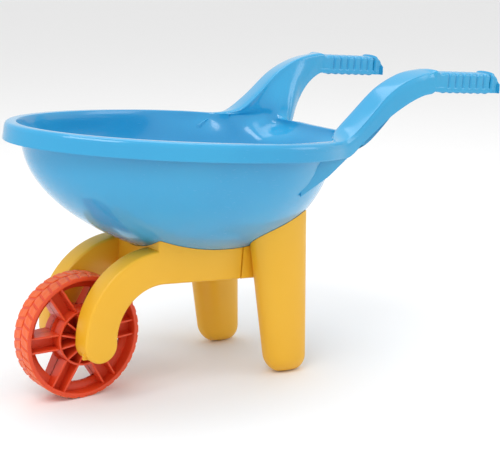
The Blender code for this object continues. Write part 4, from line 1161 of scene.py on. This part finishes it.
# %% The boss with its bore
boss = new_piece("wheel_boss", *turned_loop(
    [(-BOSS_HALF, AXLE_RADIUS + AXLE_PLAY), (-BOSS_HALF, BOSS_RADIUS * 0.80),
     (-BOSS_HALF + 0.0006, BOSS_RADIUS * 0.86), (0.0, BOSS_RADIUS * 1.1),
     (BOSS_HALF - 0.0006, BOSS_RADIUS * 0.86), (BOSS_HALF, BOSS_RADIUS * 0.80),
     (BOSS_HALF, AXLE_RADIUS + AXLE_PLAY)], 64), orange)


# %% Ribs of the spokes and the hub
def rib_plate(name, sideways, r_low, r_high, half_low, half_high, thickness):
    """A rib that runs out along X at angle zero; the ring tree turns its copies."""
    rings = []
    for radius, half in ((r_low, half_low), ((r_low + r_high) / 2, (half_low + half_high) / 2),
                         (r_high, half_high)):
        rings.append([(radius, half * b, sideways + thickness / 2 * a)
                      for a, b in ((-1, -1), (1, -1), (1, 1), (-1, 1))])
    plate = new_piece(name, *loft(rings))
    return settle(soften(plate, 0.0005, 2))


offset = (SPOKE_WIDTH - RIB) / 2
wheel_pieces = [tread_ring, hub_ring, web_disc, boss]
for label, shift in (("lower", -offset), ("upper", offset)):
    plate = rib_plate("rib", shift, HUB_RADIUS - 0.0010, RIM_INNER + 0.0010, HUB_HALF * 0.9, SPOKE_HALF, RIB)
    wheel_pieces.append(grow("spoke_ribs_" + label, RING_TREE, plate, orange, Count=SPOKES, Start_angle=0.0))
plate = rib_plate("rib", 0.0, BOSS_RADIUS * 0.8, HUB_RADIUS - RIB / 2, BOSS_HALF - 0.002, HUB_HALF - 0.0008,
                  RIB * 0.8)
wheel_pieces.append(grow("hub_ribs", RING_TREE, plate, orange, Count=HUB_RIBS,
                         Start_angle=math.pi / HUB_RIBS))


# %% Tread blocks: a slanted block with a notch, in two staggered rows
def tread_block(name, side):
    """One block on the ring at angle zero; it leans with the row and follows the tread's curve."""
    pitch = 2 * math.pi / TREAD_BLOCKS
    y_inner = side * 0.0012
    y_outer = side * (WHEEL_HALF - 0.0006)
    columns = 6
    rings = []
    for k in range(columns + 1):
        share = k / columns
        y = y_inner + (y_outer - y_inner) * share
        lean = 0.30 * pitch * share
        inset = 0.10 if share in (0.0, 1.0) else 0.0
        ring = []
        for radius, spread in ((TREAD_BASE - 0.0008, 0.42), (TREAD_TOP - 0.0003, 0.36),
                               (TREAD_TOP, 0.31)):
            end_cut = 0.0004 if inset and radius > TREAD_BASE else 0
            ring.append((radius - end_cut, lean - pitch * spread, y))
        for radius, spread in ((TREAD_TOP, 0.10), (TREAD_TOP, -0.10)):
            notch = 0.0007 if 0.4 < share < 0.7 else 0.0
            ring.append((radius - notch - (0.0004 if inset else 0), lean - pitch * spread, y))
        for radius, spread in ((TREAD_TOP, 0.31), (TREAD_TOP - 0.0003, 0.36),
                               (TREAD_BASE - 0.0008, 0.42)):
            end_cut = 0.0004 if inset and radius > TREAD_BASE else 0
            ring.append((radius - end_cut, lean + pitch * spread, y))
        rings.append([(r * math.cos(a), y, r * math.sin(a)) for r, a, y in ring])
    return new_piece(name, *loft(rings), sharp=30)


# The tread rows take the lighter orange, which is painted light on the wheel's one orange plastic.
for row, side in ((0.0, 1), (0.5, -1)):
    start = 2 * math.pi / TREAD_BLOCKS * row
    wheel_pieces.append(grow(f"tread_row_{'left' if side > 0 else 'right'}", RING_TREE,
                             tread_block("block", side), painted_light_tread_orange, Count=TREAD_BLOCKS,
                             Start_angle=start))

show_orange(wheel_pieces[0], "wheel")
for piece in wheel_pieces[1:]:
    show_orange(piece)

# %% [markdown]
# ## Screws, axle and keepers
# Ten small cross-head screws hold the mouldings together, all but out of sight.  One screw is
# turned and its cross cut in; the place tree sets a copy on each point of a guide mesh and turns
# it to the direction stored there.

# %% One cross-head screw
def one_screw():
    profile = [(-0.0022, 0.0016), (-0.0021, 0.0026), (-0.0016, 0.0033), (-0.0009, 0.0036), (0.0, 0.0036),
               (0.0, SCREW_RADIUS)]
    for k in range(9):
        z = 0.0006 + k * 0.0011
        profile += [(z, SCREW_RADIUS - 0.0003), (z + 0.0005, SCREW_RADIUS)]
    profile += [(0.0114, 0.0006)]
    screw = new_piece("screw", *turned(profile, "Z", 24))
    cross = [new_piece("cross", *block((-a, -b, -0.0030), (a, b, -0.0010)))
             for a, b in ((0.0019, 0.0004), (0.0004, 0.0019))]
    for blade in cross:
        boolean(screw, blade)
    return settle(screw, *cross)


# %% Where the screws go, and which way each one points
places = []
for x, y in SOCKET_PLACES:
    places += [((x, s * y, SOCKET_BOTTOM_Z - GAP), (0, 0, 1)) for s in (1, -1)]
for x in LEG_SCREW_X:
    places += [((x, s * (ARM_INNER_FACE - GAP), LEG_SCREW_Z), (0, s, 0)) for s in (1, -1)]
places += [((ARM_HOLLOW * 0.83 + GAP, s * KEEPER_Y, KEEPER_SCREW_Z), (-1, 0, 0)) for s in (1, -1)]
guide_mesh = bpy.data.meshes.new("screw_places")
guide_mesh.from_pydata([place for place, _ in places], [], [])
ways = guide_mesh.attributes.new("way", "FLOAT_VECTOR", "POINT")
for index, (_, way) in enumerate(places):
    ways.data[index].vector = way
guide = bpy.data.objects.new("screw_places", guide_mesh)
bpy.context.scene.collection.objects.link(guide)
screws = grow("screws", PLACE_TREE, one_screw(), steel, guide=guide)
tip(screws)
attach(screws, "barrow")
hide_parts(*[n for n in frame["nodes"] if "screw" in n])

# %% The axle and its keepers keep their measured shape and get their finish
for node_name, finish in (("axle", steel), ("axle_keeper_left", yellow), ("axle_keeper_right", yellow)):
    node = frame["nodes"][node_name]
    node.data.materials.clear()
    node.data.materials.append(finish)
print("screws placed:", len(places))

# %% [markdown]
# ## Studio
# The barrow stands on a plain pale floor.  One broad soft light overhead and to the left makes
# the bright tops and the long soft reflections, a second on the right keeps the far side from
# going dull, and a pale world fills the rest.

# %% Floor and world
floor_mesh = bpy.data.meshes.new("studio_floor")
floor_mesh.from_pydata([(-15, -15, 0), (15, -15, 0), (15, 15, 0), (-15, 15, 0)], [], [(0, 1, 2, 3)])
floor = bpy.data.objects.new("studio_floor", floor_mesh)
bpy.context.scene.collection.objects.link(floor)
paint = bpy.data.materials.new("pale_floor")
paint.use_nodes = True
paint.node_tree.nodes["Principled BSDF"].inputs["Base Color"].default_value = (0.93, 0.93, 0.93, 1)
paint.node_tree.nodes["Principled BSDF"].inputs["Roughness"].default_value = 0.9
floor_mesh.materials.append(paint)

world = bpy.data.worlds.new("studio")
bpy.context.scene.world = world
world.use_nodes = True
world.node_tree.nodes["Background"].inputs["Color"].default_value = (1.0, 1.0, 1.0, 1)
world.node_tree.nodes["Background"].inputs["Strength"].default_value = 0.85
bpy.context.scene.view_settings.view_transform = "Standard"


# %% Lights
def softbox(name, place, target, width, height, power):
    light = bpy.data.lights.new(name, "AREA")
    light.shape = "RECTANGLE"
    light.size = width
    light.size_y = height
    light.energy = power
    lamp = bpy.data.objects.new(name, light)
    lamp.location = place
    lamp.rotation_euler = (Vector(target) - Vector(place)).to_track_quat("-Z", "Y").to_euler()
    bpy.context.scene.collection.objects.link(lamp)
    return lamp


softbox("key", (-1.3, -0.7, 1.9), (0, 0, 0.15), 1.3, 0.9, 17)
softbox("overhead", (0.3, 0.3, 2.2), (0, 0, 0.15), 1.6, 1.6, 13)
softbox("side", (1.9, -1.5, 1.0), (0, 0, 0.2), 0.9, 0.9, 5)

# %% Camera
camera_data = bpy.data.cameras.new("camera")
camera_data.lens = 99.84
camera_data.sensor_width = 36.0
camera = bpy.data.objects.new("camera", camera_data)
camera.location = (AXLE.x - 0.7416, -1.4139, 0.5867)
look_at = Vector((AXLE.x + 0.2526, 0.0, 0.1741))
camera.rotation_euler = (look_at - camera.location).to_track_quat("-Z", "Y").to_euler()
bpy.context.scene.collection.objects.link(camera)
bpy.context.scene.camera = camera
print("camera", [round(v, 3) for v in camera.location])
